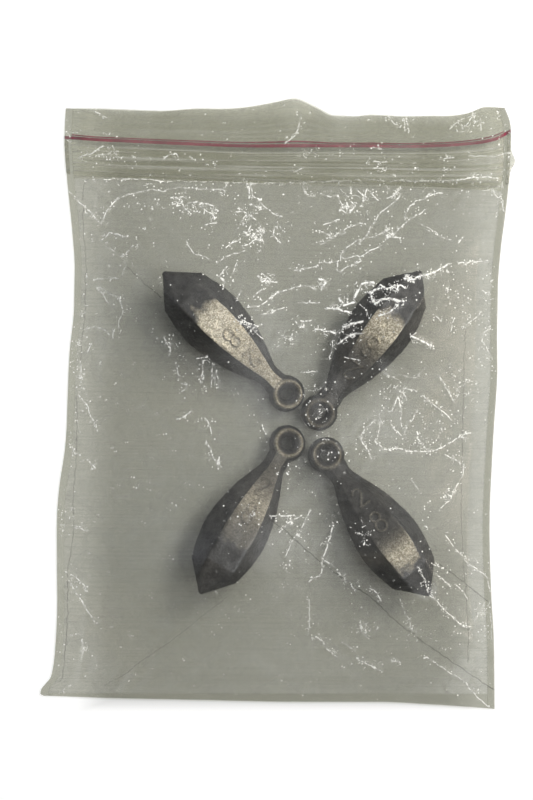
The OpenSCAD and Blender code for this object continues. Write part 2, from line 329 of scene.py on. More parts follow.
def lattice_noise(points, cell, seed):
    """Random values on a cubic lattice with the given cell, carried between by smooth steps. The
    lattice repeats after 32 cells, and 1000 cells keep its counting above nought."""
    grid = np.random.default_rng(seed).standard_normal((32, 32, 32))
    q = points / cell + 1000
    i = np.floor(q).astype(int)
    f = q - i
    f = f * f * (3 - 2 * f)
    value = 0
    for dx, dy, dz in np.ndindex(2, 2, 2):
        weight = (np.abs(1 - dx - f[:, 0]) * np.abs(1 - dy - f[:, 1]) * np.abs(1 - dz - f[:, 2]))
        value = value + weight * grid[(i[:, 0] + dx) % 32, (i[:, 1] + dy) % 32, (i[:, 2] + dz) % 32]
    return value


def numeral_height(s, y):
    """Raised numerals 2 and 8 on the top face, one below the other: 1 inside each stroke, and a
    smooth step of the distance from its middle line over its edge."""
    p = np.stack([s, y], -1)[:, None]
    line = np.array(TWO)
    a, b = line[None, :-1], line[None, 1:]
    t = np.clip(((p - a) * (b - a)).sum(-1) / ((b - a) ** 2).sum(-1), 0, 1)
    away = np.sqrt(((p - a - t[..., None] * (b - a)) ** 2).sum(-1)).min(1)
    for middle, radius in EIGHT:
        away = np.minimum(away, np.abs(np.hypot(s - middle, y) - radius))
    edge = np.clip((STROKE - away) / STROKE_EDGE, 0, 1)
    return edge * edge * (3 - 2 * edge)


def cast_sinker():
    """One sinker in its own frame: body and eye fused into one skin and smoothed twice by half."""
    body, eye = body_points(), eye_points()
    rows, columns = body.shape[:2]
    faces = ring_faces(rows, columns).tolist()
    faces.append(list(range(columns))[::-1])
    faces.append([(rows - 1) * columns + k for k in range(columns)])
    start = rows * columns
    eye_faces = ring_faces(*eye.shape[:2])[:, ::-1] + start
    points = np.concatenate([body.reshape(-1, 3), eye.reshape(-1, 3)])
    raw = bpy.data.meshes.new("raw_sinker")
    raw.from_pydata((points * MM).tolist(), [], faces + eye_faces.tolist())
    block = bpy.data.objects.new("raw_sinker", raw)
    bpy.context.collection.objects.link(block)
    weld = block.modifiers.new("close", "WELD")
    weld.merge_threshold = 0.001 * MM
    fuse = block.modifiers.new("fuse", "REMESH")
    fuse.mode = "VOXEL"
    fuse.voxel_size = VOXEL * MM
    soften = block.modifiers.new("soften", "SMOOTH")
    soften.factor = 0.5
    soften.iterations = 2
    bpy.context.view_layer.update()
    seen = block.evaluated_get(bpy.context.evaluated_depsgraph_get())
    cast = bpy.data.meshes.new_from_object(seen)
    bpy.data.objects.remove(block)
    return cast


def read_points(mesh):
    """A mesh's points and normals, in millimetres and unit length."""
    co = np.empty(len(mesh.vertices) * 3, np.float32)
    mesh.vertices.foreach_get("co", co)
    normal = np.empty(len(mesh.vertices) * 3, np.float32)
    mesh.vertex_normals.foreach_get("vector", normal)
    return co.reshape(-1, 3).astype(float) / MM, normal.reshape(-1, 3).astype(float)


# Cast lead: its oxide's tones, 2.4 mm across, its bright grains, 0.24 mm, whose paint is bare
# metal and on the top faces also a painted highlight, and its pits, 0.9 mm and 0.22 mm deep. The
# real grain is finer, and this is as fine as the picture can show.
OXIDE = ("#302f2f", "#5b5a58")
BARE_GRAIN_AND_HIGHLIGHT = ("#bdb39c", "#fff5de")
OXIDE_PATCH = 2.4
GRAIN = 0.24
PIT = 0.9
PIT_DEPTH = 0.22


def lead():
    """Cast lead: dull blue-grey metal under a thin dark oxide. The top faces keep a crystalline
    skin whose grains each mirror another part of the room, and their bright paint is also a
    painted highlight where each casting's top face caught the light. The rubbed rims are bright
    from wear, and the numerals partly from wear and partly by a painted highlight."""
    material, tree, out = new_material("cast_lead")
    where = add(tree, "TexCoord")
    bare_and_highlit = add(tree, "Attribute", attribute_name="bare_and_highlit")
    rubbed = add(tree, "Attribute", attribute_name="rubbed")
    mottle = add(tree, "TexNoise", {"Vector": (where, "Object"), "Scale": 1 / (OXIDE_PATCH * MM),
                                    "Detail": 6.0, "Roughness": 0.65})
    tone = add(tree, "ValToRGB", {"Fac": (mottle, "Fac")})
    grain = add(tree, "TexVoronoi", {"Vector": (where, "Object"), "Scale": 1 / (GRAIN * MM)})
    shades = add(tree, "SeparateXYZ", {"Vector": (grain, "Color")})
    speck = add(tree, "ValToRGB", {"Fac": (shades, "X")})
    for ramp, places, colours in ((tone, (0.32, 0.7), OXIDE), (speck, (0.30, 0.95), BARE_GRAIN_AND_HIGHLIGHT)):
        for element, position, shade in zip(ramp.color_ramp.elements, places, colours):
            element.position = position
            element.color = linear(shade)
    # The bright grains' paint mixes in by wear and, on the top faces, as a painted highlight
    worn_and_highlit = add(tree, "Math", {0: (bare_and_highlit, "Fac"), 1: (rubbed, "Fac")}, operation="MAXIMUM")
    colour = add(tree, "Mix", {"Factor": worn_and_highlit}, data_type="RGBA")
    tree.links.new(tone.outputs["Color"], colour.inputs[6])
    tree.links.new(speck.outputs["Color"], colour.inputs[7])
    centred = add(tree, "VectorMath", {0: (grain, "Color"), 1: (0.5, 0.5, 0.5)}, operation="SUBTRACT")
    amount = add(tree, "MapRange", {"Value": (bare_and_highlit, "Fac"), "To Min": 0.25, "To Max": 0.28})
    thrown = add(tree, "VectorMath", {0: centred, "Scale": amount}, operation="SCALE")
    pits = add(tree, "TexNoise", {"Vector": (where, "Object"), "Scale": 1 / (PIT * MM), "Detail": 5.0,
                                  "Roughness": 0.7})
    skin = add(tree, "Bump", {"Height": (pits, "Fac"), "Strength": 1.0, "Distance": PIT_DEPTH * MM})
    turned = add(tree, "VectorMath", {0: (skin, "Normal"), 1: thrown}, operation="ADD")
    normal = add(tree, "VectorMath", {0: turned}, operation="NORMALIZE")
    rough = add(tree, "MapRange", {"Value": worn_and_highlit, "To Min": 0.5, "To Max": 0.3})
    bare = add(tree, "MapRange", {"Value": worn_and_highlit, "To Min": 0.8, "To Max": 0.95})
    metal = add(tree, "BsdfPrincipled", {"Base Color": (colour, 2), "Metallic": bare,
                                         "Roughness": rough, "Normal": normal})
    tree.links.new(metal.outputs[0], out.inputs["Surface"])
    return material


# The painted highlight on each casting's top face, in the bright grains' paint: how much all
# over, how much more about one place, where that place is and how far it reaches, and where it
# ends at the shoulder
PAINTED_TOP_HIGHLIGHT = {"upper_left": (0.75, 0.25, 21, 8, 29.2), "upper_right": (0.05, 1.0, 23.5, 5, 28.8),
          "lower_left": (0.15, 0.4, 16, 4, 27.4), "lower_right": (0.02, 0.9, 28.3, 3.6, 32)}
RIM_WEAR = {"upper_left": 1.0, "upper_right": 0.3, "lower_left": 0.8, "lower_right": 0.4}
RIM_FADE = 0.45
RIM_FOOT = 1.6
# Worn bright on the numerals, and partly a painted highlight on their relief
NUMERAL_WEAR_AND_HIGHLIGHT = 0.18
# A top face begins where the upward part of its normal is so much, and is whole a little above
# it. The numerals stand wherever it is more than the last of the three.
TOP_FACE = 0.86
TOP_SOFT = 0.06
NUMERAL_FACE = 0.75


def wear(points, normals, name):
    """Two masks over a casting. The first marks the top face's bare grain and its painted
    highlight, from a soft start past the neck, 2.6 mm along, to a slightly round line at the
    shoulder, where it ends over 1.4 mm. Both ends are ragged, by 0.8 mm over 1.6 mm and by 0.3 mm
    over 0.6 mm. Rubbed falls off as a bell curve from the crest of the eye's rim, and there is a
    little of it on the numerals, where it is partly wear and partly a painted highlight."""
    s, y = points[:, 0], points[:, 1]
    ragged = 0.8 * lattice_noise(points, 1.6, 31) + 0.3 * lattice_noise(points, 0.6, 32)
    all_over, more, middle, reach, end = PAINTED_TOP_HIGHLIGHT[name]
    bare_and_highlit = np.clip((normals[:, 2] - TOP_FACE) / TOP_SOFT, 0, 1)
    bare_and_highlit *= np.clip((end + ragged - s - 0.12 * y * y) / 1.4, 0, 1)
    bare_and_highlit *= np.clip((s - 2.6 - 0.3 * ragged) / 1.2, 0, 1)
    bare_and_highlit *= all_over + more * np.exp(-((s - middle) / reach) ** 2)
    crest = np.exp(-((np.hypot(s, y) - RIM_RADIUS) / RIM_FADE) ** 2)
    rubbed = RIM_WEAR[name] * crest * (points[:, 2] > RIM_FOOT)
    rubbed = np.maximum(rubbed, NUMERAL_WEAR_AND_HIGHLIGHT * numeral_height(s, y) * (normals[:, 2] > NUMERAL_FACE))
    return bare_and_highlit, rubbed


cast = cast_sinker()
cast_lead = lead()
points, normals = read_points(cast)
numerals = NUMERAL_HEIGHT * numeral_height(points[:, 0], points[:, 1]) * (normals[:, 2] > NUMERAL_FACE)
mounts = {m["name"]: m for m in frame["record"]["mounts"]}
shifts = {j["name"]: j for j in frame["joints"]}
sinker_frames = []
for k, name in enumerate(NAMES):
    # The casting lies along its slide, tilted until its eye's hole follows the mount's axis
    mount = mounts[name + "_eye"]
    up = np.array(mount["axis"]) / np.linalg.norm(mount["axis"])
    way = np.array(shifts[name + "_shift"]["axis"])
    axis = way * up[2] + np.array([0, 0, math.sqrt(1 - up[2] ** 2)])
    axis /= np.linalg.norm(axis)
    side = np.cross(up, axis)
    sinker_frames.append((np.array(mount["pos_m"]) / MM, axis, side, up, way))
    # Its skin is uneven by some hundredths of a millimetre over 1.3 and 0.5 mm
    skin = 0.035 * lattice_noise(points, 1.3, 10 + k) + 0.018 * lattice_noise(points, 0.5, 20 + k) + numerals
    shaped = points + normals * skin[:, None]
    world_points = sinker_frames[-1][0] + shaped @ np.array([axis, side, up])
    mesh = cast.copy()
    for mask_name, mask in zip(("bare_and_highlit", "rubbed"), wear(points, normals, name)):
        mesh.attributes.new(mask_name, "FLOAT", "POINT").data.foreach_set("value", mask.astype(np.float32))
    mesh.vertices.foreach_set("co", (world_points * MM).astype(np.float32).ravel())
    mesh.materials.clear()
    mesh.materials.append(cast_lead)
    mesh.polygons.foreach_set("use_smooth", np.ones(len(mesh.polygons), bool))
    mesh.update()
    sinker = bpy.data.objects.new("cast_" + name + "_sinker", mesh)
    bpy.context.collection.objects.link(sinker)
    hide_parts(name + "_sinker")
    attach(sinker, name + "_sinker")


# The front film
# One layer of low-density polyethylene, blown thin and clear with a grey-green cast. It is
# creased from handling, and it is drawn tight over the sinkers from the seals, the fold and
# the zip, so that folds run from each nose towards the corners of the bag.
front_low, front_high = (np.array(corner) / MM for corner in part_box("front_film"))
mouth_high = np.array(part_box("mouth_film")[1]) / MM
SEAL_X = front_high[0]
FOLD_Y = front_low[1]
POUCH_Y = mouth_high[1]
HINGE = np.array(shifts["mouth_open"]["pos_m"]) / MM
HALF_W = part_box("right_seal")[1][0] / MM
TOP_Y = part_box("right_seal")[1][1] / MM
POUCH_X = mouth_high[0]
STRIPE_Y = 58.9
FILM_T = 0.1
# How high the middle of the film stays over a sinker and over the back film
FILM_CLEAR = 0.2
FILM_LOW = 0.25
# The outline as it lies: across at places along each side, and along at places across
LEFT_Y = [-67.8, -66.2, -64.6, -63.4, -62.2, -60.5, -54, -46.6, -37.6, -27, -19.5, -11, -6, 0, 11, 21, 29, 38,
          50, 60, 68]
LEFT_X = [-52.0, -52.8, -52.6, -51.7, -50.7, -50.2, -49.6, -49.4, -49.6, -49.8, -49.4, -48.3, -48.0, -47.9,
          -47.6, -46.8, -46.8, -47.5, -48.9, -49.6, -49.4]
RIGHT_Y = [-67.8, -52, -43, -25, -10, -3, 8, 18, 27, 36, 47, 56, 62, 68]
RIGHT_X = [51.0, 50.5, 49.8, 49.1, 49.5, 49.8, 50.3, 50.1, 50.1, 50.6, 51.8, 52.5, 52.3, 50.9]
LIP_X = [-50, -40, -30, -21, -14, -9, -3, 1.3, 6, 10.6, 15.1, 19.6, 26, 33, 38, 42, 46.5, 51]
LIP_RISE = [-2.4, -2.4, -2.4, -1.6, -1.4, -0.8, 0.4, 1.3, -0.3, -2.2, -2.2, -1.7, -1.8, -1.5, -1.3, -0.6,
            1.0, 1.0]
LINE_X = [-50, -44, -37, -24, -12, 4, 17, 27, 40, 47, 51]
LINE_RISE = [0.0, -0.4, -0.5, -0.7, -0.8, -0.3, 0.1, 0.3, 1.3, 2.7, 4.9]
BOTTOM_X = [-52, -37, -17, 6, 24, 37, 46, 51]
BOTTOM_RISE = [1.8, 1.3, 0.9, 0.5, 0.5, -0.1, -0.7, -1.1]


def lay(x, y):
    """Where a place on the flat bag lies. Across, it keeps its share of the way between the two
    sides. Along, it rises with the stripe's line, the lip and the fold, each by its share of the
    way from the pouch's edge."""
    left, right = curve(y, LEFT_Y, LEFT_X), curve(y, RIGHT_Y, RIGHT_X)
    across = (left + right) / 2 + x / HALF_W * (right - left) / 2
    line, lip, fold = curve(x, LINE_X, LINE_RISE), curve(x, LIP_X, LIP_RISE), curve(x, BOTTOM_X, BOTTOM_RISE)
    low = np.clip((y - POUCH_Y) / (STRIPE_Y - POUCH_Y), 0, 1)
    high = np.clip((y - STRIPE_Y) / (TOP_Y - STRIPE_Y), 0, 1)
    under = np.clip((FOLD_Y - y) / (TOP_Y + FOLD_Y), 0, 1)
    return across, y + line * low * (1 - high) + lip * high + fold * under


# Each crease is how sharp it is and then its points across and along the flat film. One below
# zero is a dark hairline of painted shade, and one above 1 is a wider line. Each worked patch,
# which has more crumples and more painted glints, is its centre, its half sizes and its amount.
CREASES = [
    (0.8, -50.4, 46.7, -48.4, 44.3, -45.7, 41.8, -44.1, 39.8),
    (0.9, -44.1, 39.8, -42.2, 43.2, -40.7, 44.6, -39.4, 45.9),
    (0.4, -39.4, 45.9, -35.5, 46.9, -32.2, 47.7, -28.8, 47.4),
    (0.8, -44.2, 36.1, -42.1, 37.8, -40.2, 37.3, -38.5, 36.7),
    (0.5, -42.8, 34.3, -40.5, 32.8, -39.1, 32, -37.3, 34.3),
    (0.4, -39.6, 31.8, -38.6, 29.9, -40.1, 27.3, -43.3, 27.4, -46, 27.1),
    (0.7, -45.7, 25.2, -44.2, 23.7, -43.1, 22), (0.4, -45.7, 25.7, -42.6, 24, -40.4, 22.8),
    (0.6, -40.1, 21.9, -39.3, 19.8, -40.2, 17.8, -40.2, 16.3),
    (0.5, -48.1, 15.8, -45.7, 16.7, -42.7, 15.2, -41.5, 13.9, -41.4, 15.7),
    (0.8, -48, 15.2, -48.2, 12.9, -48.4, 10.2, -47.9, 5.1),
    (0.9, -45.7, 49.8, -38.8, 49.9, -34.3, 50, -29.1, 49.8),
    (0.5, -29.1, 49.8, -20.6, 49.8, -7, 49.9, 2.2, 50.3, 15.9, 51.2, 25.2, 51.2, 37.9, 51.6),
    (0.3, -28.7, 47.7, -25.3, 48.3, -21.9, 48.2, -15, 48.1), (0.8, -27.3, 45.8, -25, 46.3),
    (0.8, -27.1, 44.4, -25.3, 44.8), (0.8, -25, 42.7, -24.5, 43.5, -23.6, 42.7),
    (0.9, -23.7, 44.5, -21.6, 45.1, -19.7, 44.7, -18.1, 44.3),
    (0.9, -20.7, 43.9, -19.6, 42.8, -18.2, 42.3, -17.6, 41.4), (0.7, -20, 39.7, -17.6, 40.3),
    (0.7, -14.7, 49, -15.1, 47.2), (1, -10.5, 50.8, -9.2, 49.7, -8.8, 48.3, -8.6, 46.9, -7.5, 46.3),
    (0.8, -10.1, 49.6, -9.7, 47.8), (0.8, -9, 44.8, -7.1, 43.9),
    (0.6, -7.5, 46, -6, 44.3, -4.4, 43.1, -2.5, 42.4), (1, -12.6, 43, -11.1, 43.1, -9.6, 42.4, -8.5, 41.5),
    (0.8, -10.9, 41.7, -11.1, 40.3), (0.9, -10.8, 38.2, -9.1, 37.5, -7.7, 38.9, -6.9, 37.6, -7.1, 36.2),
    (1, -11.3, 35.1, -9.7, 35.8, -8.5, 36.6, -7, 36.2), (0.7, -9.5, 39.8, -10.5, 37.9),
    (0.7, -7.5, 40.3, -6.4, 38.6), (0.9, -3.8, 39.7, -4.4, 37.9, -3.6, 37.2, -2.8, 36.3),
    (0.6, -3.1, 40.6, -2.2, 39.2), (0.9, -15.1, 34.7, -13.9, 35.7, -12.5, 36.4),
    (0.5, -17.3, 30.9, -15.6, 32.2, -13.3, 33.2, -11.1, 33.8),
    (0.8, -15.5, 29.7, -16.5, 28.4, -17.1, 27.7, -15.7, 26.3, -16.2, 24.9), (0.5, -13.8, 28.6, -13.1, 30.7),
    (0.5, -24.3, 35.4, -23.9, 34.1, -22.8, 32.8, -19.6, 31.6),
    (0.9, -8, 27.8, -7.1, 26.7, -5.4, 27, -4.2, 26.8), (0.8, -7.1, 28.6, -5.8, 27.4, -4.5, 27.7),
    (0.6, -9, 23.4, -7.9, 24.6), (0.9, -10.5, 20.9, -8.1, 21, -6.4, 22.2, -4.7, 23.6, -3.8, 24.5),
    (0.8, -7.2, 19.5, -5.5, 19.6, -3.9, 20.5, -2.5, 21), (0.6, -13, 22.7, -12.1, 24.2),
    (1, -13.5, 18.3, -11.6, 17.2, -9.9, 16.3, -8, 15.1, -7, 14.2), (0.8, -11.9, 18, -8.7, 16.7, -7.4, 17.1),
    (0.7, 6.1, 31.5, 8.8, 31.8, 10.1, 31.8, 9.8, 29.8, 10.5, 29.4, 12.6, 30.8, 15.1, 31.8),
    (0.6, 0.5, 29.8, 3.8, 30.3, 5.1, 30.5),
    (0.6, 10.6, 32.3, 11.1, 33.9, 13.1, 35.8, 15.5, 37.2, 19, 38.1, 22.1, 39.5),
    (0.8, 12, 32.7, 14.5, 33.2), (0.9, 15.4, 33.1, 17.2, 34.4, 20, 35.7), (0.9, 21.6, 37.6, 21.4, 40.1),
    (0.6, 21.6, 37.6, 22.9, 38.3, 24.6, 39.8, 26.5, 41.5, 28.7, 43, 31.2, 44.6),
    (0.9, 22, 37.6, 24.5, 37.7), (0.8, 26.2, 42.9, 27.4, 45.2, 29.1, 46.8, 30.8, 47.3, 32.2, 48.4),
    (0.9, 32.5, 48, 33.9, 48.9, 35.1, 48.8), (0.6, 19.5, 42.2, 20.7, 44.1, 23, 45.3, 24.6, 47, 25.5, 48),
    (0.4, 15.4, 36.3, 17.4, 39.1, 19.1, 41.4), (0.7, 7.6, 40.8, 10.7, 41.8),
    (0.7, 6.6, 38.9, 9.5, 37.8, 11.5, 39.3, 13.4, 40.2, 15.7, 41.2, 16.6, 40.9),
    (0.3, 6.5, 36, 8.9, 37.1, 12.1, 38.8), (0.9, 11, 47.4, 11.8, 45.3, 11.3, 44.2, 12.5, 43.5),
    (0.9, 13, 45.7, 13.5, 43.8, 15, 45.2, 14.1, 46.1), (1, 15.6, 48.9, 17, 47.3, 17.6, 49),
    (0.8, 16.4, 45.4, 17.5, 47.2), (0.9, 18.5, 48.3, 20, 46.9), (0.6, 3, 49.3, 3.5, 48, 4.5, 47.5),
    (0.7, 7.3, 47.8, 9.1, 47.3, 10.5, 47.4), (0.6, 22.6, 47.3, 24.2, 48.3, 25.5, 49.3),
    (1, 37.9, 51.6, 41.4, 52, 44.8, 52.2, 47.9, 51.8), (0.8, 45.2, 49.8, 47.1, 49.8, 48.4, 48.3),
    (0.8, 49.3, 50.8, 49.3, 48.8, 49.9, 47.2, 50.3, 45.3),
    (0.4, 29.7, 41.2, 32.2, 40, 34.7, 38.5, 38.1, 37.8), (0.9, 39.9, 37.5, 40.7, 38.5),
    (1.4, 24.9, 27.6, 27.1, 27.7, 29.1, 28.7, 32.1, 29.3, 34.5, 30.8, 36.7, 32),
    (1, 40.2, 32.6, 43.2, 33.1, 47.5, 33.6), (0.6, 32.6, 20.3, 35.1, 18.9),
    (0.8, 41.8, 17.8, 43.9, 19.3, 45.9, 20.8, 46.7, 21.6), (0.6, 38.2, 17.2, 38.5, 18.9, 39.2, 19.9),
    (1.6, 27, 15.2, 29.6, 14.2, 33.1, 13.2), (0.8, 47.2, 15.4, 47.8, 17.1, 48.9, 18.5),
    (0.7, 47.8, 14.3, 49.4, 11.6), (1.8, 18.5, 25.3, 16.9, 24.6, 17.5, 22.9),
    (1.6, 18.1, 22.2, 19.2, 22.9, 21.2, 23.1, 23.9, 22.7), (1.4, 19.4, 26.1, 20.5, 25.1, 22, 25.9),
    (1.4, 19.1, 19.7, 21.2, 20.3, 22.8, 21.7), (0.7, 14.9, 21.8, 16, 20.6, 16.7, 19.1),
    (1.8, 11.5, 17, 13, 17.7, 15.1, 18.2), (1.6, 10.5, 13.4, 12.1, 15.2, 15, 15.7),
    (1.4, 22.6, 25, 23.4, 26.2, 24.5, 25.7), (1.4, 9.1, 15.7, 7.1, 16.1, 5.1, 16.5),
    (1.6, 13.1, 22.3, 11.1, 21.7, 10.3, 23.2), (1.4, 7.6, 21.3, 9.9, 20.9, 12, 20.1),
    (1.6, 13.4, 23.7, 14.3, 25.2, 15, 26.7, 17.5, 26.8), (0.6, -3.1, 24.5, 0.3, 25.7, 3.7, 26.1, 4.8, 25.2),
    (1.6, 6, 27.5, 7.3, 27.1, 6.4, 25.7), (0.9, 0.5, 17.9, 1.5, 16.8, 2.6, 16.4, 2, 18.2, 3.6, 18.4),
    (0.8, -2.2, 14.7, -0.5, 13.9, -0.2, 15.2), (0.5, 1.4, 22.2, 5.5, 22.2),
    (0.7, 8.6, 10.2, 8.8, 11.8, 9.1, 13.7), (0.7, 12.1, 10.4, 15, 9.7), (0.7, 2.5, 6.9, 5.5, 7),
    (0.7, 21.5, 6.7, 23.6, 6.2), (0.4, 25.1, 6.6, 29.4, 6, 31.2, 8.2),
    (1, 24.2, -0.9, 24.7, 1.3, 25.3, 2.7, 26.2, -1, 26.6, -4.3), (0.8, 26.4, 2.7, 27.2, 1.4),
    (0.7, 26.6, 3.7, 29.6, 3.2), (1, 31.6, 2.2, 33.7, 0.8, 35.7, -0.2, 37.7, -1.3, 39.6, -2.8),
    (0.7, 35.8, 6.5, 38.1, 3.8, 40.2, 1), (0.7, 17, -6.6, 17.6, -5.5, 19, -4.4, 20, -3.5),
    (0.9, 16.7, -7.1, 17.6, -8.5, 18.6, -9.9, 19.6, -11.4),
    (0.6, 20.8, -7.7, 21, -5.4, 21.3, -3.8, 21, -2.3),
    (0.9, 20.6, -8.1, 22.6, -9.6, 26.1, -9.5, 29.6, -10.1, 33.1, -9.9, 36.1, -9.7, 38.6, -8.5, 41.2, -7.4,
     43.7, -6, 45.6, -5.6), (0.6, 27.4, -6, 28.1, -4.3, 29.5, -2.8, 30.6, -0.5),
    (0.8, 23.7, -3.8, 25.1, -5.4, 26.4, -6.3), (0.9, 38.6, -10.8, 41.3, -11.7, 43.7, -13.3),
    (0.7, 43.7, -13.3, 43.5, -15.4, 41.6, -18.1, 39.9, -20.8, 37.6, -22.4), (0.3, 29.5, -16.3, 31.7, -18.7),
    (1, -48.6, -38.4, -46.7, -39.5, -45.2, -41, -44.2, -42.4),
    (0.8, -48.3, -39.7, -46.6, -42.9, -44.3, -46.4, -42.1, -49.8),
    (0.9, -46.9, -28.5, -45.8, -28.3, -44.3, -28.9), (0.6, -47.6, -24, -47.2, -26.7),
    (0.8, -48, 1.1, -46.3, -1.4, -45.2, -3.9, -43.9, -6.5), (0.8, -45.5, -13.3, -43.7, -14.9),
    (0.8, -49.7, -9.9, -48.3, -11.8), (0.8, -46.7, 11.2, -46.2, 12.4),
    (0.7, -29.1, 13.7, -28.2, 11.8, -27.4, 12.3, -28, 9.9), (0.6, -26.2, 8, -25.7, 4.9),
    (1, -20.1, 8.6, -20.2, 6.3, -20.6, 4.4), (0.9, -21.3, 9.3, -19.6, 9.5), (0.5, -18.1, 8, -18, 3.4),
    (0.5, -17, 6.5, -16.6, 3.4), (0.6, -25.1, 1.9, -23.6, 2.7, -23.6, 3.7, -24.7, 3.8),
    (0.9, -25.5, -3.9, -24.1, -3.5, -22.6, -2.4), (0.8, -19.1, -3.8, -18, -5.1, -17.7, -6.6),
    (0.8, -18.5, -8.8, -17, -11.5, -15.6, -13.9), (0.8, -15.3, -14.3, -15.5, -12.2),
    (0.7, -5.9, -5, -5.3, -6.5), (0.7, -44.9, -54, -44.4, -55.9, -44.7, -58),
    (0.6, -47.7, -52.5, -45.9, -52.3), (0.6, -45.2, -64.1, -46.8, -66),
    (0.8, -0.6, -27.6, 2, -25.4, 3.8, -24.5), (0.8, -2.5, -24.6, 3.1, -24.4),
    (0.5, 5.8, -23.4, 4.5, -26.3, 3.5, -28.7), (0.7, 2.9, -28.5, 1.5, -30.9, 0.6, -33.2),
    (0.8, 11.1, -26.2, 10.5, -28.6, 9.5, -31.4, 8.6, -34.2, 8.5, -37.6, 7.4, -38.1, 6.1, -39),
    (0.7, 13.6, -38.3, 14.8, -39.5, 16, -41), (0.8, 9.3, -34.3, 10.8, -35.8, 12.6, -37.5),
    (0.8, 19.1, -40.4, 20.7, -41.5, 21.7, -43.1), (0.6, 25.9, -43, 27.3, -45.9, 28.7, -47.8, 29.6, -50.7),
    (0.6, 30.6, -50.7, 31.1, -52.6),
    (1, 32.7, -42, 34.5, -43.6, 37.6, -46, 40.7, -48.3, 42.7, -49.8, 45.1, -50.1),
    (0.8, 29.7, -36, 31.1, -38.8, 32, -40.9), (0.8, 34.4, -37.4, 38.7, -40.1),
    (0.6, 33.2, -34.9, 38.3, -36.5), (0.6, 41.1, -40.1, 43.6, -41.9, 44.8, -43.5),
    (0.8, 38.6, -28.8, 41.2, -31.7, 43.7, -33.6, 46.2, -35.9, 48.3, -37.4, 49.9, -38.7, 50.5, -41.7),
    (0.7, 6, -43.8, 6.1, -46.4, 6.5, -48.8, 6.1, -51.6), (0.6, 8, -52, 9.5, -53.2, 11, -55.3, 13, -56.7),
    (0.8, 17.6, -48, 18.1, -51, 19.3, -52), (0.6, 21, -50.9, 21.7, -49.9),
    (0.9, 18.1, -57.5, 20, -58.3, 21.6, -59, 23.5, -59.9), (0.8, 26.1, -57.5, 27.6, -58),
    (0.5, 14.2, -53.6, 17.1, -55.2), (0.6, 34.5, -57, 36.8, -58.5, 39.6, -60.2, 42.3, -61.6, 44.2, -62.8),
    (0.8, 44.2, -62.8, 45.8, -65.1, 47.7, -66.7, 49.5, -67.7), (0.5, 46.6, -48.5, 49.1, -44.6),
    (0.5, 49.3, -46.3, 50.7, -44), (0.5, 50.3, -47.3, 50.3, -53.1),
    (-1, -3, -25.4, 0.5, -27.6, 3.8, -30.9, 8.1, -34.3, 13.6, -38.7, 19.3, -42.5, 25.3, -47.9, 31.8, -52.6,
     40.1, -57.7, 47.4, -62.4, 50.4, -64.2), (-1, 34.3, -34.5, 40.7, -37.8, 47.1, -41.9, 50.4, -44.7),
    (-0.6, -39.6, 30.9, -34.1, 25.8, -30.5, 22.7),
    (-0.6, -37.2, -63.5, -31.6, -58.6, -24.7, -53, -18.6, -47.5, -13, -42.8),
    (0.7, -45.5, 67.7, -43.8, 66.6, -41.9, 65.3), (0.7, 2.3, 64.4, 1.8, 62.3, 0.7, 60.8, -1.1, 59.4),
    (0.8, 23.1, 67.3, 23.8, 65.9, 25.2, 64.6), (0.7, 26.7, 66.7, 26.4, 63.7), (0.7, 27.4, 66.9, 27.1, 63.1),
    (0.9, 36.9, 64, 39.2, 65.7, 39.9, 66.2), (0.9, 39.9, 63.9, 41.9, 65.8, 43.1, 66.8),
    (0.8, 43, 67.3, 42.7, 64.8), (0.7, 38.8, 62.7, 40.8, 62.7), (0.6, 44.1, 64.8, 43.8, 62.3),
    (0.8, -28.5, 55.2, -27.3, 56, -26.3, 56.3), (0.8, -47.3, 54.6, -46.3, 55.1, -44.8, 55.8),
    (0.8, -43.9, 56.4, -42.6, 57.3), (0.8, -42.4, 55.3, -40.8, 55.8), (0.7, -40.1, 57.3, -39.7, 55.9),
    (0.8, 19.3, 55.3, 21.6, 55.3), (0.9, 19.3, 53.9, 20.8, 54), (0.7, 18.8, 58.3, 20.7, 58.2),
    (0.7, 0.9, 52.9, 2.1, 53.4), (0.6, 34.3, 56, 37, 56.3), (0.5, 41.2, 56.3, 48.2, 55.8, 50.3, 55.5),
    (-0.6, -48.7, 0.2, -48.3, -8.8, -47.7, -15.5, -47, -26.8, -47.2, -31.2, -48.3, -36.9, -48.5, -44.6,
     -48.4, -51.4, -48.6, -57, -48.2, -62.5),
    (-0.5, -45.2, 49.8, -46.6, 49.3, -47.2, 48.1, -47.7, 44.9, -48.2, 39.3, -48.2, 33.8, -48.2, 28.8,
     -48.3, 23.7, -48.2, 15.8, -48.2, 9.2),
    (-0.8, 42.7, 17.4, 42.2, 10.6, 42.7, 1.6, 43.1, -7.4, 43.4, -20.9, 43.9, -34.5, 44.5, -43.9, 44.6,
     -57.8),
]
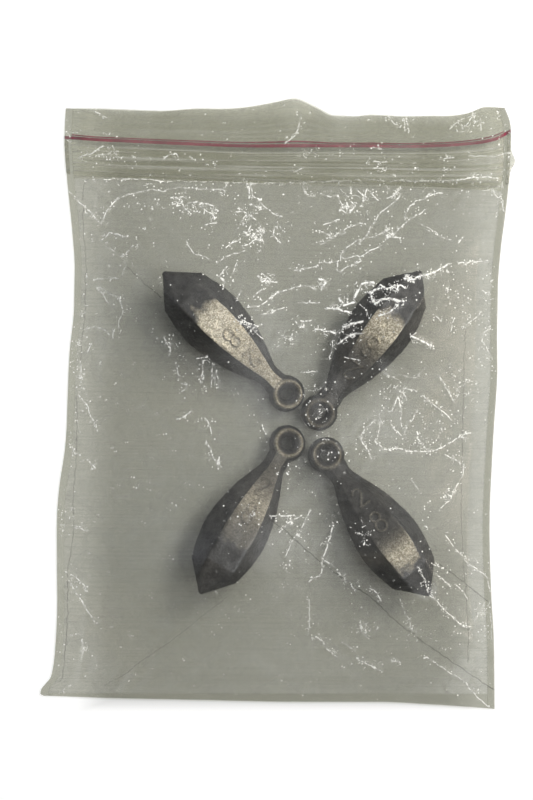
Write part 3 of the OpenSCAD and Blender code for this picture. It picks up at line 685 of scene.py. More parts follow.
WORKED = [
    (-33.6, 43.8, 4.3, 1.4, 0.8), (-33.5, 38.7, 1.6, 1.1, 0.8), (-24.4, 44.3, 3.8, 2.2, 0.8),
    (-19.1, 43.3, 2.7, 1.6, 0.9), (-19.1, 39.5, 1.9, 1.6, 0.7), (-9.2, 48.3, 2.2, 2.7, 0.7),
    (-10.4, 42.7, 3.3, 2.2, 0.9), (-8.7, 37.6, 3.3, 2.7, 1), (-3.4, 37.9, 1.6, 2.4, 0.8),
    (-13.9, 35.4, 2.2, 1.4, 0.7), (-16.1, 28.2, 1.6, 2.4, 0.9), (-24.8, 34.5, 1.6, 1.4, 0.5),
    (-6.5, 27.2, 2.4, 1.4, 1), (-7.2, 23.1, 3.3, 2.2, 0.6), (-9.5, 16.3, 3.3, 1.6, 0.9),
    (14.1, 46.6, 3.8, 3.5, 1), (19.3, 48.2, 1.6, 1.6, 0.9), (8.8, 39.8, 3.8, 2.2, 0.5),
    (12.8, 31.8, 3.8, 1.6, 0.6), (23, 39.1, 2.2, 2.4, 0.8), (6.9, 47.8, 4.9, 1.4, 0.6),
    (24.3, 49.2, 4.9, 3.3, 0.6), (20.5, 51.8, 3.3, 1.6, 0.7), (32.3, 50.3, 5.4, 2.2, 0.5),
    (41.7, 50.1, 3.8, 1.9, 0.6), (49.2, 48.8, 1.4, 3.8, 0.8), (34.1, 30.8, 2.7, 1.6, 0.6),
    (39.1, 25.2, 4.3, 3.8, 0.5), (48.4, 25.6, 1.9, 6, 0.6), (38.6, 18.2, 1.6, 2.2, 0.6),
    (44.6, 19.8, 2.4, 1.9, 0.7), (48.3, 14.3, 1.9, 3.8, 0.6), (10.3, 22.9, 2.4, 1.9, 0.9),
    (17.3, 24.7, 4.3, 2.7, 0.6), (23.1, 25.1, 2.4, 2.4, 0.7), (2.1, 17.3, 2.4, 1.6, 0.9),
    (-1.3, 14.3, 2.2, 2.2, 0.9), (6.6, 26.6, 1.4, 1.4, 0.8), (12.6, 16.3, 3.8, 2.2, 0.7),
    (24.2, 3.7, 3.8, 3.3, 0.6), (24.7, -1.1, 2.2, 3.8, 0.5), (30.2, -7.5, 3.8, 2.4, 1),
    (36.8, -3.4, 4.9, 3.8, 0.7), (31.7, -9.7, 6.5, 1.1, 0.8), (44.1, -5.8, 2.2, 1.6, 0.9),
    (40.2, 4.8, 3.5, 3.8, 0.8), (21.6, 6.3, 3.3, 1.4, 0.5), (18.6, -7.7, 2.4, 3.8, 0.6),
    (21.4, -4.4, 1.4, 3.8, 0.5), (39.2, -18.9, 1.9, 2.4, 0.8), (41.3, -11.4, 2.7, 1.6, 0.7),
    (47.7, 9.7, 2.2, 4.3, 0.6), (44.2, 3.9, 3.3, 4.3, 0.7), (-45.6, -28, 1.9, 1.4, 0.9),
    (-49.2, 8, 1.4, 7.6, 0.7), (-48.9, -6.6, 1.1, 2.4, 0.7), (-48.1, 2.8, 1.4, 1.6, 0.8),
    (-46.2, -13.3, 1.1, 1.1, 0.8), (-50.3, -24.1, 1.1, 3.8, 0.7), (-49.6, -27.9, 1.4, 1.9, 0.7),
    (-48.2, 20.3, 1.6, 7.6, 0.4), (-40.6, 19.7, 1.9, 3.3, 0.5), (-44.6, 36.1, 4.3, 2.7, 0.3),
    (-28.2, 12.1, 1.4, 2.7, 0.6), (-26.1, 6.7, 1.1, 2.4, 0.6), (-20.3, 7.2, 1.6, 2.7, 0.8),
    (-17.3, 5.6, 1.4, 2.2, 0.5), (-24.2, 2.7, 1.6, 1.4, 0.6), (-18, -5.1, 1.6, 2.2, 0.5),
    (-49.8, -53.6, 1.1, 8.1, 0.4), (-44.6, -55.9, 1.1, 2.7, 0.6), (-46.2, -58.5, 1.1, 1.4, 0.5),
    (0.6, -34.9, 1.4, 2.2, 1), (0.4, -40, 1.1, 1.1, 0.7), (1.5, -25.4, 3.8, 1.6, 0.7),
    (3.8, -29.9, 2.7, 3.8, 0.4), (10.4, -35.1, 1.9, 1.4, 0.7), (14.8, -39.1, 2.2, 1.6, 0.8),
    (21.1, -41.9, 1.6, 1.6, 0.7), (18.8, -50, 2.2, 2.4, 1), (8.5, -52.5, 1.4, 1.1, 0.9),
    (6.1, -51.1, 1.1, 2.7, 0.6), (21.5, -58.7, 3.3, 1.1, 0.8), (26.9, -57.7, 1.1, 0.8, 0.9),
    (33.7, -56.7, 1.6, 1.4, 0.8), (46.2, -65, 2.2, 3.3, 0.5), (28.7, -47.8, 1.9, 4.9, 0.5),
    (36.6, -39, 2.4, 1.9, 0.7), (47.6, -35.3, 2.7, 2.2, 0.6), (48.8, -48.1, 2.2, 4.3, 0.8),
    (40.8, -50.6, 1.4, 0.8, 0.8), (35.6, -49.8, 1.1, 1.1, 0.6), (44.2, -53, 1.1, 1.6, 0.5),
    (46.6, -23.3, 1.4, 1.4, 0.5), (49.9, -24.1, 1.1, 1.1, 0.7), (32.6, -25, 2.2, 3.8, 0.4),
    (-7.6, -25.4, 2.7, 3.8, 0.6), (-11, -23.4, 2.2, 2.7, 0.5), (9.9, -8.9, 3.8, 3.8, 0.5),
    (6.7, -1.3, 3.8, 4.3, 0.6), (6.9, 3.1, 4.3, 2.2, 0.5), (1, -14.4, 2.7, 2.7, 0.6),
    (31.1, -39.4, 2.2, 2.2, 0.5), (18, -28.5, 2.7, 2.7, 0.6), (21.6, -7.7, 3.3, 2.7, 0.4),
    (-40.8, 55.2, 6, 2.2, 0.8), (-41.8, 60.7, 2.2, 0.8, 0.8), (-49.7, 61, 1.6, 5.4, 0.6),
    (4.3, 57.2, 3.3, 1.6, 0.8), (-27.3, 55.8, 2.2, 1.1, 0.7), (-22.4, 55.4, 2.2, 1.1, 0.6),
    (-17.9, 54.4, 2.4, 0.8, 0.6), (19.9, 54.7, 2.7, 1.4, 0.8), (13.1, 57, 2.2, 1.1, 0.6),
    (26.6, 64.6, 1.6, 2.4, 0.9), (24.2, 65.7, 1.9, 1.6, 0.8), (41.7, 64.6, 3.8, 2.4, 0.9),
    (49.1, 66.2, 1.6, 2.7, 0.8), (35.3, 56.3, 2.7, 0.8, 0.7), (35.4, 53.7, 1.6, 1.4, 0.7),
    (1.3, 53.2, 1.6, 1.1, 0.7), (48.1, 56.6, 2.4, 2.2, 0.6), (-5.9, 53, 1.6, 0.8, 0.6),
    (-14.9, 55.8, 2.2, 0.8, 0.5), (23.9, 53.2, 2.2, 1.6, 0.5), (27.8, 52.8, 2.7, 1.4, 0.5),
    (43.8, 51.6, 5.4, 1.1, 0.6), (2.3, 49.4, 3.8, 1.4, 0.5),
]
# The offset where no crease is near, how far round a crease its places are reckoned, and the
# reach and the share of the worked film beside it
FAR_OFF = 9.0
CREASE_MARGIN = 3
HALO_REACH = 0.9
HALO_SHARE = 0.75
# The share of its crumple that the film has where it is worked least
LEAST_HANDLED = 0.28
# The crumple: each layer of facets' height, width of a facet, turn and seed, in millimetres and
# radians, then a crease's ridge, its height and reach
FACETS = [(0.40, 7.0, 0.5, 3), (0.26, 3.6, 1.2, 4), (0.14, 1.9, 2.1, 5)]
RIDGE_HEIGHT = 0.22
RIDGE_REACH = 0.6
# The line pressed round the pouch: its middle, its half sizes, its corner, depth and reach
PRESSED_MIDDLE = (0.5, -8.0)
PRESSED_HALF = (45.0, 57.0)
PRESSED_CORNER = 5.0
PRESSED_DEPTH = 0.22
PRESSED_REACH = 0.7


def blob(x, y, cx, cy, rx, ry):
    """A smooth hill of height 1 over an ellipse."""
    return np.exp(-((x - cx) / rx) ** 2 - ((y - cy) / ry) ** 2)


def crease_fields(x, y):
    """What the creases are at places on the flat film: the offset to the nearest crease's line,
    left or right of it, the distance to the crease itself, how sharp it is there, and how much
    the film is worked: 1 in a worked patch, and falling off as a bell curve beside a crease."""
    x, y = np.asarray(x, float), np.asarray(y, float)
    side, gap, sharp = np.full(x.shape, FAR_OFF), np.full(x.shape, FAR_OFF), np.zeros(x.shape)
    halo = np.zeros(x.shape)
    for line in CREASES:
        ends = np.array(line[1:]).reshape(-1, 2)
        for a, b in zip(ends[:-1], ends[1:]):
            (x0, y0), (x1, y1) = np.minimum(a, b) - CREASE_MARGIN, np.maximum(a, b) + CREASE_MARGIN
            near = (x > x0) & (x < x1) & (y > y0) & (y < y1)
            dx, dy = x[near] - a[0], y[near] - a[1]
            length = max(math.hypot(*(b - a)), 0.1)
            along = (dx * (b - a)[0] + dy * (b - a)[1]) / length
            off = (dx * (b - a)[1] - dy * (b - a)[0]) / length
            distance = np.hypot(along - np.clip(along, 0, length), off)
            nearer = distance < gap[near]
            side[near] = np.where(nearer, off, side[near])
            sharp[near] = np.where(nearer, line[0], sharp[near])
            gap[near] = np.minimum(gap[near], distance)
            halo[near] = np.maximum(halo[near], line[0] * np.exp(-(distance / HALO_REACH) ** 2))
    worked = HALO_SHARE * halo
    for cx, cy, rx, ry, amount in WORKED:
        worked = np.maximum(worked, amount * blob(x, y, cx, cy, rx, ry))
    return side, gap, sharp, np.clip(worked, 0, 1)


def facets(x, y, cell, turn, seed):
    """Flat facets between sharp creases, from -1 to 1: random heights on a turned lattice, warped
    by sines of a third of a cell each way, with a plane over each half cell. The lattice has
    64 x 64 cells, and its middle is at nought."""
    rng = np.random.default_rng(seed)
    grid = rng.uniform(-1, 1, (64, 64))
    bend = rng.uniform(0, 6.28, 4)
    x, y = (x + 0.35 * cell * np.sin(y / cell * 0.9 + bend[0]),
            y + 0.35 * cell * np.sin(x / cell * 0.8 + bend[1]))
    u = (x * math.cos(turn) + y * math.sin(turn)) / cell + 32
    v = (y * math.cos(turn) - x * math.sin(turn)) / cell + 32
    i, j = np.floor(u).astype(int), np.floor(v).astype(int)
    f, g = u - i, v - j
    start, beside = grid[i % 64, j % 64], grid[(i + 1) % 64, j % 64]
    above, across = grid[i % 64, (j + 1) % 64], grid[(i + 1) % 64, (j + 1) % 64]
    near_half = start + f * (beside - start) + g * (above - start)
    far_half = across + (1 - f) * (above - across) + (1 - g) * (beside - across)
    return np.where(f + g < 1, near_half, far_half)


def handled(x, y):
    """How much handling has creased the film: the least everywhere, and all of it about the
    worked patches, whose hills here are half as wide again and 1 mm more."""
    about = sum(amount * blob(x, y, cx, cy, 1.5 * rx + 1, 1.5 * ry + 1) for cx, cy, rx, ry, amount in WORKED)
    return LEAST_HANDLED + (1 - LEAST_HANDLED) * np.clip(about, 0, 1)


def pressed_line(x, y):
    """Depth of the line pressed round the pouch: a bell curve of the distance to a rectangle with
    round corners, just inside the seals."""
    dx = np.abs(x - PRESSED_MIDDLE[0]) - PRESSED_HALF[0] + PRESSED_CORNER
    dy = np.abs(y - PRESSED_MIDDLE[1]) - PRESSED_HALF[1] + PRESSED_CORNER
    outside = np.hypot(np.maximum(dx, 0), np.maximum(dy, 0))
    off = outside + np.minimum(np.maximum(dx, dy), 0) - PRESSED_CORNER
    return PRESSED_DEPTH * np.exp(-(off / PRESSED_REACH) ** 2)


def crumple(x, y):
    """Height of the creases in the cut sheet: three layers of facets by how much the film was
    handled, a bell-shaped ridge along each named crease, and the pressed line."""
    _, gap, sharp, _ = crease_fields(x, y)
    ridge = RIDGE_HEIGHT * np.maximum(sharp, 0) * np.exp(-(gap / RIDGE_REACH) ** 2)
    coarse, middling, fine = (height * facets(x, y, cell, turn, seed) for height, cell, turn, seed in FACETS)
    return ridge + handled(x, y) * (coarse + middling + fine) - pressed_line(x, y)


# The eye as the film meets it: a disc as thick as its rim, so long each way from its middle,
# as far along as the neck. The film rides on it from its own end, and on the body past it.
EYE_REACH = 4.3
EYE_END = -4.2
BODY_START = 3


def sinker_tops(x, y, clear):
    """The height that the film must keep over the sinkers, at five places of each one's travel.
    Across a casting it is level over the flat top and falls to the side edges in a straight line."""
    top = np.full(x.shape, -1.0)
    for (eye, axis, side, up, way), name in zip(sinker_frames, NAMES):
        for shift in np.linspace(0, shifts[name + "_shift"]["range_m"][1] / MM, 5):
            dx, dy = x - eye[0] - shift * way[0], y - eye[1] - shift * way[1]
            s = (dx * way[0] + dy * way[1]) / up[2]
            u = np.abs(dx * side[0] + dy * side[1])
            disc = EYE_RADIUS * np.sqrt(np.clip(1 - (s / EYE_REACH) ** 2, 0, 1))
            body_w, body_t = section(s)
            w = np.maximum(np.where(s < ALONG[1], disc, 0), np.where(s > 0, body_w, 0))
            t = np.where(s > BODY_START, body_t, RIM_HEIGHT)
            fall = np.clip((w - u) / np.maximum(w * (1 - FACET_SHARE), 0.1), 0, 1)
            z = eye[2] + s * axis[2] + t * fall
            over = (u < w) & (s > EYE_END) & (s < NOSE)
            top = np.where(over, np.maximum(top, z + clear), top)
    return top


def finer(a):
    """The same sheet with twice as many rows and columns. A new point between b and c is
    (9 (b + c) - a - d) / 16, where a and d are the next points on both sides."""
    def along(b):
        """The same along one way. The sheet goes on straight past its two ends."""
        ends = np.concatenate([2 * b[:1] - b[1:2], b, 2 * b[-1:] - b[-2:-1]])
        out = np.empty((2 * len(b) - 1,) + b.shape[1:])
        out[::2] = b
        out[1::2] = (9 * (ends[1:-2] + ends[2:-1]) - ends[:-3] - ends[3:]) / 16
        return out
    return along(along(a).swapaxes(0, 1)).swapaxes(0, 1)


def span(a, b):
    """Distances between two lists of points."""
    return np.sqrt(((a - b) ** 2).sum(-1))


def pull(a, b, wa, wb, rest, stiff):
    """Move two lists of points towards their rest distance, each by its own freedom: by their
    share of the gap's excess, times the stiffness."""
    gap = b - a
    length = np.sqrt((gap * gap).sum(-1)) + 1e-9
    gap *= (stiff * (length - rest) / length / np.maximum(wa + wb, 1e-9))[..., None]
    a += gap * wa[..., None]
    b -= gap * wb[..., None]


# How the film settles: the share of its speed that it keeps from step to step, and where it
# touches, and how stiff it is aslant and in bending. Along and across it doesn't give.
KEPT_SPEED = 0.97
RUBBED_SPEED = 0.6
ASLANT_STIFF = 0.7
BEND_STIFF = 0.4


def settle(sheet, cut, free, tops, roof, steps, weight):
    """Let the sheet settle. Each step moves every point on by its speed and its weight, then
    brings neighbours, diagonal neighbours and next neighbours to the distances that they have in
    the cut sheet with its creases, and keeps it over the sinkers and the floor, under the roof."""
    cell = tops[0][1] - tops[0][0]
    speed = np.zeros_like(sheet)
    w = free.astype(float)
    across, along = span(cut[:, :-1], cut[:, 1:]), span(cut[:-1], cut[1:])
    falling, rising = span(cut[:-1, :-1], cut[1:, 1:]), span(cut[:-1, 1:], cut[1:, :-1])
    wide, tall = span(cut[:, :-2], cut[:, 2:]), span(cut[:-2], cut[2:])
    for _ in range(steps):
        q = np.where(free[..., None], sheet + KEPT_SPEED * speed - np.array([0, 0, weight]), sheet)
        for o in (0, 1):
            pull(q[:, o:-1:2], q[:, o + 1::2], w[:, o:-1:2], w[:, o + 1::2], across[:, o::2], 1.0)
            pull(q[o:-1:2], q[o + 1::2], w[o:-1:2], w[o + 1::2], along[o::2], 1.0)
        for j, i in np.ndindex(2, 2):
            a, b = np.s_[j:-1:2, i:-1:2], np.s_[j + 1::2, i + 1::2]
            pull(q[a], q[b], w[a], w[b], falling[j::2, i::2], ASLANT_STIFF)
            a, b = np.s_[j:-1:2, i + 1::2], np.s_[j + 1::2, i:-1:2]
            pull(q[a], q[b], w[a], w[b], rising[j::2, i::2], ASLANT_STIFF)
        for o in range(4):
            n = q[:, o + 2::4].shape[1]
            a, b = np.s_[:, o::4], np.s_[:, o + 2::4]
            pull(q[a][:, :n], q[b], w[a][:, :n], w[b], wide[a][:, :n], BEND_STIFF)
            n = q[o + 2::4].shape[0]
            a, b = np.s_[o::4], np.s_[o + 2::4]
            pull(q[a][:n], q[b], w[a][:n], w[b], tall[a][:n], BEND_STIFF)
        i = np.clip(((q[..., 0] - tops[0][0]) / cell + 0.5).astype(int), 0, len(tops[0]) - 1)
        j = np.clip(((q[..., 1] - tops[1][0]) / cell + 0.5).astype(int), 0, len(tops[1]) - 1)
        floor_z = np.maximum(tops[2][j, i], FILM_LOW)
        hit = free & (q[..., 2] < floor_z)
        q[..., 2] = np.where(hit, floor_z, np.where(free, np.minimum(q[..., 2], roof), q[..., 2]))
        speed = q - sheet
        speed[hit] *= RUBBED_SPEED
        sheet = q
    return sheet


# The map of the sinkers' tops: its cell, and from where to where it goes across and along
MAP_CELL = 0.25
MAP_X = (-53, 53)
MAP_Y = (-69, 53)
# The film is cut a little larger than it lies. It starts as a flat-topped tent, whose slopes
# are so wide, and under the roof it may rise freely, except at the zip's ends and the fold.
CUT_SLACK = 1.004
TENT_HEIGHT = 12
TENT_SLOPE = 18
ROOF = 20.0
EDGE_ROOF = 0.6
FOLD_MARGIN = 1.5
# The coarse sheet's steps and weight, and the fine one's
SETTLING = {False: (320, 0.0008), True: (120, 0.0002)}
# The share of the crumple that is added once the film has settled, and how far from its rim
# it is whole
LATE_CRUMPLE = 0.6
RIM_REACH = 4


def from_rim(x, y):
    """How far a place on the pouch is from the nearest of its two seals, its fold and its zip."""
    return np.minimum(np.minimum(SEAL_X - np.abs(x), y - FOLD_Y), POUCH_Y - y)


def drape():
    """The front film from seal to seal and from the fold to the zip, 1 mm apart and then 0.5 mm.
    It is measured as it lies, because its finest crumples take up what its sides are drawn in."""
    columns, rows = int(2 * SEAL_X) + 1, int(POUCH_Y - FOLD_Y) + 1
    x, y = np.meshgrid(np.linspace(-SEAL_X, SEAL_X, columns), np.linspace(FOLD_Y, POUCH_Y, rows))
    map_x, map_y = (np.arange(low, high + MAP_CELL, MAP_CELL) for low, high in (MAP_X, MAP_Y))
    tops = (map_x, map_y, sinker_tops(*np.meshgrid(map_x, map_y), FILM_CLEAR))
    for fine, (steps, weight) in SETTLING.items():
        if fine:
            x, y = finer(x[..., None])[..., 0], finer(y[..., None])[..., 0]
        lain_x, lain_y = lay(x, y)
        cut = np.stack([CUT_SLACK * lain_x, CUT_SLACK * lain_y, crumple(x, y)], -1)
        free = np.ones(x.shape, bool)
        free[[0, -1]] = False
        free[:, [0, -1]] = False
        inside = (np.abs(x) < POUCH_X) & (y > FOLD_Y + FOLD_MARGIN)
        roof = np.where(inside, ROOF, EDGE_ROOF)
        if fine:
            sheet = finer(sheet)
        else:
            tent = FILM_LOW + TENT_HEIGHT * np.clip(from_rim(x, y) / TENT_SLOPE, 0, 1)
            sheet = np.stack([lain_x, lain_y, tent + cut[..., 2] * free], -1)
        sheet = settle(sheet, cut, free, tops, roof, steps, weight)
    rim = np.clip(from_rim(x, y) / RIM_REACH, 0, 1)
    rise = crumple(x, y)
    sheet[..., 2] += rim * LATE_CRUMPLE * np.maximum(rise - rise.min() * rim * 0.5, 0)
    return sheet, x, y


def film_mesh(name, middle, u, v, thickness, material, part=np.s_[:], creased=True):
    """A closed sheet: part of a grid of points, moved half the thickness to each side along the
    whole grid's normals, with the rim closed. The UV map holds the flat cut in metres. Only a
    creased sheet carries the front film's creases."""
    normal = np.cross(np.gradient(middle, axis=1), np.gradient(middle, axis=0))
    normal /= np.linalg.norm(normal, axis=-1, keepdims=True)
    middle, normal, u, v = middle[part], normal[part], u[part], v[part]
    rows, columns = middle.shape[:2]
    points = np.concatenate([(middle + normal * thickness / 2).reshape(-1, 3),
                             (middle - normal * thickness / 2).reshape(-1, 3)])
    r, c = np.meshgrid(np.arange(rows - 1), np.arange(columns - 1), indexing="ij")
    a = (r * columns + c).ravel()
    quads = np.stack([a, a + 1, a + 1 + columns, a + columns], -1)
    count = rows * columns
    rim = np.concatenate([np.arange(columns), (np.arange(1, rows) + 1) * columns - 1,
                          count - 2 - np.arange(columns - 1), np.arange(rows - 2, -1, -1) * columns])
    edge = np.stack([rim[:-1], rim[:-1] + count, rim[1:] + count, rim[1:]], -1)
    faces = np.concatenate([quads, quads[:, ::-1] + count, edge])
    mesh = bpy.data.meshes.new(name)
    mesh.vertices.add(len(points))
    mesh.vertices.foreach_set("co", (points * MM).astype(np.float32).ravel())
    mesh.loops.add(faces.size)
    mesh.loops.foreach_set("vertex_index", faces.astype(np.int32).ravel())
    mesh.polygons.add(len(faces))
    mesh.polygons.foreach_set("loop_start", np.arange(0, faces.size, 4, dtype=np.int32))
    mesh.polygons.foreach_set("use_smooth", np.ones(len(faces), bool))
    flat = np.concatenate([np.stack([u, v], -1).reshape(-1, 2)] * 2)[faces.ravel()]
    mesh.uv_layers.new(name="flat").data.foreach_set("uv", (flat * MM).astype(np.float32).ravel())
    for field, values in zip(("crease_side", "crease_gap", "crease_sharp", "worked"), crease_fields(u, v)):
        values = np.tile(creased * values.ravel(), 2).astype(np.float32)
        mesh.attributes.new(field, "FLOAT", "POINT").data.foreach_set("value", values)
    mesh.materials.append(material)
    mesh.update()
    mesh.normals_split_custom_set_from_vertices(np.concatenate([normal, -normal]).reshape(-1, 3))
    piece = bpy.data.objects.new(name, mesh)
    bpy.context.collection.objects.link(piece)
    return piece


# The film's noises: how many millimetres a swell is across on the flat film, its detail and
# how far it is bent
FILM_NOISES = {"sways": (2.2, 1.5, 0.0), "breaks": (0.9, 1.5, 0.0), "clouds": (4.0, 4.0, 0.5),
               "large_curls": (1.9, 1.5, 0.6), "large_cuts": (1.3, 2.0, 0.0),
               "small_curls": (1.0, 1.5, 0.6), "small_cuts": (2.1, 2.0, 0.0)}
DOT_CELL = 0.8
DIE_LINE = 0.6
DIE_LINE_STRETCH = 0.015
MARK_HEIGHT = 0.08
MARK_GLOSS = 0.13
# How white a mark's painted glint is and how dark a hairline's painted shade, and the share of
# each paint
GLINT_PAINT_WHITE = "#fdfcf6"
GLINT_PAINT_SHARE = 0.9
CREASE_SHADE_PAINT = "#3e3c36"
CREASE_SHADE_SHARE = 0.3


def film(name, tint, haze, haze_share, gloss=0.36, die_lines=0.0, blotches=0.012):
    """Blown polyethylene film: each face passes its tint, scatters a little light as haze, and
    reflects 3.5% straight on and more at a slant: blurred where it is smooth and sharp at a mark.
    A crease is a ridge 0.25 mm wide, or wider above 1, that is white here and there, and worked
    film is full of white dots and of short curled strokes. Their white is a painted glint for the
    light that crumpled film catches; their ridges and sharper gloss are real. A crease below zero
    is a dark hairline of painted shade. Die lines are streaks of haze along the way that the
    film was drawn, and blotches are where it is cloudier. A shadow ray only takes the tint."""
    material, tree, out = new_material(name)
    flat = add(tree, "UVMap", uv_map="flat")
    part = {}
    for field in ("crease_side", "crease_gap", "crease_sharp", "worked"):
        part[field] = (add(tree, "Attribute", attribute_name=field), "Fac")
    for swells, (across, detail, bent) in FILM_NOISES.items():
        noise = add(tree, "TexNoise", {"Vector": flat, "Scale": 1 / (across * MM), "Detail": detail,
                                       "Distortion": bent}, noise_dimensions="2D")
        part[swells] = (noise, "Fac")
    drawn = add(tree, "VectorMath", {0: flat, 1: (DIE_LINE_STRETCH, 1.0, 1.0)}, operation="MULTIPLY")
    lines = add(tree, "TexNoise", {"Vector": drawn, "Scale": 1 / (DIE_LINE * MM), "Detail": 2.0},
                noise_dimensions="2D")
    cells = add(tree, "TexVoronoi", {"Vector": flat, "Scale": 1 / (DOT_CELL * MM)}, voronoi_dimensions="2D")
    lots = add(tree, "SeparateXYZ", {"Vector": (cells, "Color")})
    part.update(lines=(lines, "Fac"), from_cell=(cells, "Distance"))
    part.update(first_lot=(lots, "X"), second_lot=(lots, "Y"))
    # Each row is a result, how it is made and what it is made from: earlier results and values.
    # A smooth step has its input, where that starts and ends, and the results at both.
    for result, way, *sources in (
            # A crease's line, painted white as a glint or dark as shade, sways by 0.35 mm, fades from 0.03
            # to 0.19 mm off its middle, ends 0.6 mm past its points, and drops to a fifth where its breaks'
            # noise is low
            ("sway", "MULTIPLY_ADD", "sways", 0.7, -0.35),
            ("swayed", "ADD", "crease_side", "sway"),
            ("off", "ABSOLUTE", "swayed"),
            ("width", "MAXIMUM", "crease_sharp", 1.0),
            ("off_by_width", "DIVIDE", "off", "width"),
            ("thin", "SMOOTHSTEP", "off_by_width", 0.03, 0.19, 1.0, 0.0),
            ("near", "SMOOTHSTEP", "crease_gap", 0.35, 0.6, 1.0, 0.0),
            ("line", "MULTIPLY", "thin", "near"),
            ("broken", "SMOOTHSTEP", "breaks", 0.38, 0.6, 0.2, 1.0),
            ("ridge", "MULTIPLY", "line", "broken"),
            ("crease", "MULTIPLY", "ridge", "crease_sharp"),
            # A stroke, a painted glint, is the contour where its noise is half. It is kept where the cuts'
            # noise is over a bar, which is lower in worked film, so that there are more of them
            ("large_apart", "SUBTRACT", "large_curls", 0.5),
            ("large_away", "ABSOLUTE", "large_apart"),
            ("large_contour", "SMOOTHSTEP", "large_away", 0.0, 0.02, 1.0, 0.0),
            ("large_bar", "MULTIPLY_ADD", "worked", -0.27, 0.70),
            ("large_over", "SUBTRACT", "large_cuts", "large_bar"),
            ("large_kept", "SMOOTHSTEP", "large_over", 0.0, 0.08, 0.0, 1.0),
            ("large_stroke", "MULTIPLY", "large_contour", "large_kept"),
            ("small_apart", "SUBTRACT", "small_curls", 0.5),
            ("small_away", "ABSOLUTE", "small_apart"),
            ("small_contour", "SMOOTHSTEP", "small_away", 0.0, 0.03, 1.0, 0.0),
            ("small_bar", "MULTIPLY_ADD", "worked", -0.27, 0.74),
            ("small_over", "SUBTRACT", "small_cuts", "small_bar"),
            ("small_kept", "SMOOTHSTEP", "small_over", 0.0, 0.08, 0.0, 1.0),
            ("small_stroke", "MULTIPLY", "small_contour", "small_kept"),
            # A cell has a dot, a painted glint, if its first random lot is over a bar, which is lower in
            # worked film. Its second lot gives the radius, 0.12 to 0.32 of a cell.
            ("dot_bar", "MULTIPLY_ADD", "worked", -0.33, 0.985),
            ("dot_over", "SUBTRACT", "first_lot", "dot_bar"),
            ("picked", "SMOOTHSTEP", "dot_over", 0.0, 0.01, 0.0, 1.0),
            ("radius", "MULTIPLY_ADD", "second_lot", 0.2, 0.12),
            ("from_dot", "DIVIDE", "from_cell", "radius"),
            ("round", "SMOOTHSTEP", "from_dot", 0.4, 1.0, 1.0, 0.0),
            ("dot", "MULTIPLY", "round", "picked"),
            # The strongest of these is the mark, whose white is a painted glint, and a crease below zero is
            # the hairline, of painted shade
            ("creases_and_large", "MAXIMUM", "crease", "large_stroke"),
            ("and_small", "MAXIMUM", "creases_and_large", "small_stroke"),
            ("marks", "MAXIMUM", "and_small", "dot"),
            ("painted_glint", "MULTIPLY", "marks", GLINT_PAINT_SHARE),
            ("depth", "MULTIPLY", "crease_sharp", -CREASE_SHADE_SHARE),
            ("hairline", "MULTIPLY", "line", "depth"),
            # The gloss is sharper on a mark. The haze is more in streaks and in blotches, where
            # the noise of each is high.
            ("blur", "SMOOTHSTEP", "marks", 0.0, 0.4, gloss, MARK_GLOSS),
            ("streaks", "SMOOTHSTEP", "lines", 0.42, 0.7, haze_share, haze_share + die_lines),
            ("blotch", "SMOOTHSTEP", "clouds", 0.4, 0.72, 0.0, blotches),
            ("cloudy", "ADD", "streaks", "blotch")):
        given = [part[source] if isinstance(source, str) else source for source in sources]
        if way == "SMOOTHSTEP":
            inputs = dict(zip(("Value", "From Min", "From Max", "To Min", "To Max"), given))
            part[result] = add(tree, "MapRange", inputs, interpolation_type=way)
        else:
            part[result] = add(tree, "Math", dict(enumerate(given)), operation=way)
    clear = add(tree, "BsdfTransparent", {"Color": linear(tint)})
    cloud = add(tree, "BsdfDiffuse", {"Color": linear(haze)})
    clouded = add(tree, "MixShader", {"Fac": part["cloudy"], 1: clear, 2: cloud})
    # A mark's white paint is a painted glint
    white = add(tree, "BsdfDiffuse", {"Color": linear(GLINT_PAINT_WHITE)})
    marked = add(tree, "MixShader", {"Fac": part["painted_glint"], 1: clouded, 2: white})
    # A hairline's dark paint is painted shade
    dark = add(tree, "BsdfDiffuse", {"Color": linear(CREASE_SHADE_PAINT)})
    lined = add(tree, "MixShader", {"Fac": part["hairline"], 1: marked, 2: dark})
    bump = add(tree, "Bump", {"Height": part["marks"], "Strength": 1.0, "Distance": MARK_HEIGHT * MM})
    shine = add(tree, "BsdfGlossy", {"Color": linear("#ffffff"), "Roughness": part["blur"],
                                     "Normal": (bump, "Normal")})
    # What it reflects: 3.5%, and 90% more times the fifth power of the slant
    slant = add(tree, "LayerWeight", {"Blend": 0.5})
    steep = add(tree, "Math", {0: (slant, "Facing"), 1: 5.0}, operation="POWER")
    share = add(tree, "Math", {0: steep, 1: 0.9, 2: 0.035}, operation="MULTIPLY_ADD")
    whole = add(tree, "MixShader", {"Fac": share, 1: lined, 2: shine})
    rays = add(tree, "LightPath")
    light = add(tree, "MixShader", {"Fac": (rays, "Is Shadow Ray"), 1: whole, 2: clear})
    tree.links.new(light.outputs[0], out.inputs["Surface"])
    return material


clear_film = film("clear_polyethylene_film", "#f9f9f8", "#c9c9c4", 0.012, die_lines=0.01)
sheet, sheet_x, sheet_y = drape()
crease_row = int(np.abs(sheet_y[:, 0] - HINGE[1]).argmin())
middle_column = sheet.shape[1] // 2
front = film_mesh("draped_front_film", sheet, sheet_x, sheet_y, FILM_T, clear_film, np.s_[:crease_row + 1])
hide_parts("front_film")
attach(front, "bag")


# The mouth's film
# The same film goes on from the bellies of the upper sinkers to the zip.
HALVES = (("left", -1), ("right", 1))


def opens_with_mouth(piece):
    """Bake the piece's place into its points."""
    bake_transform(piece)


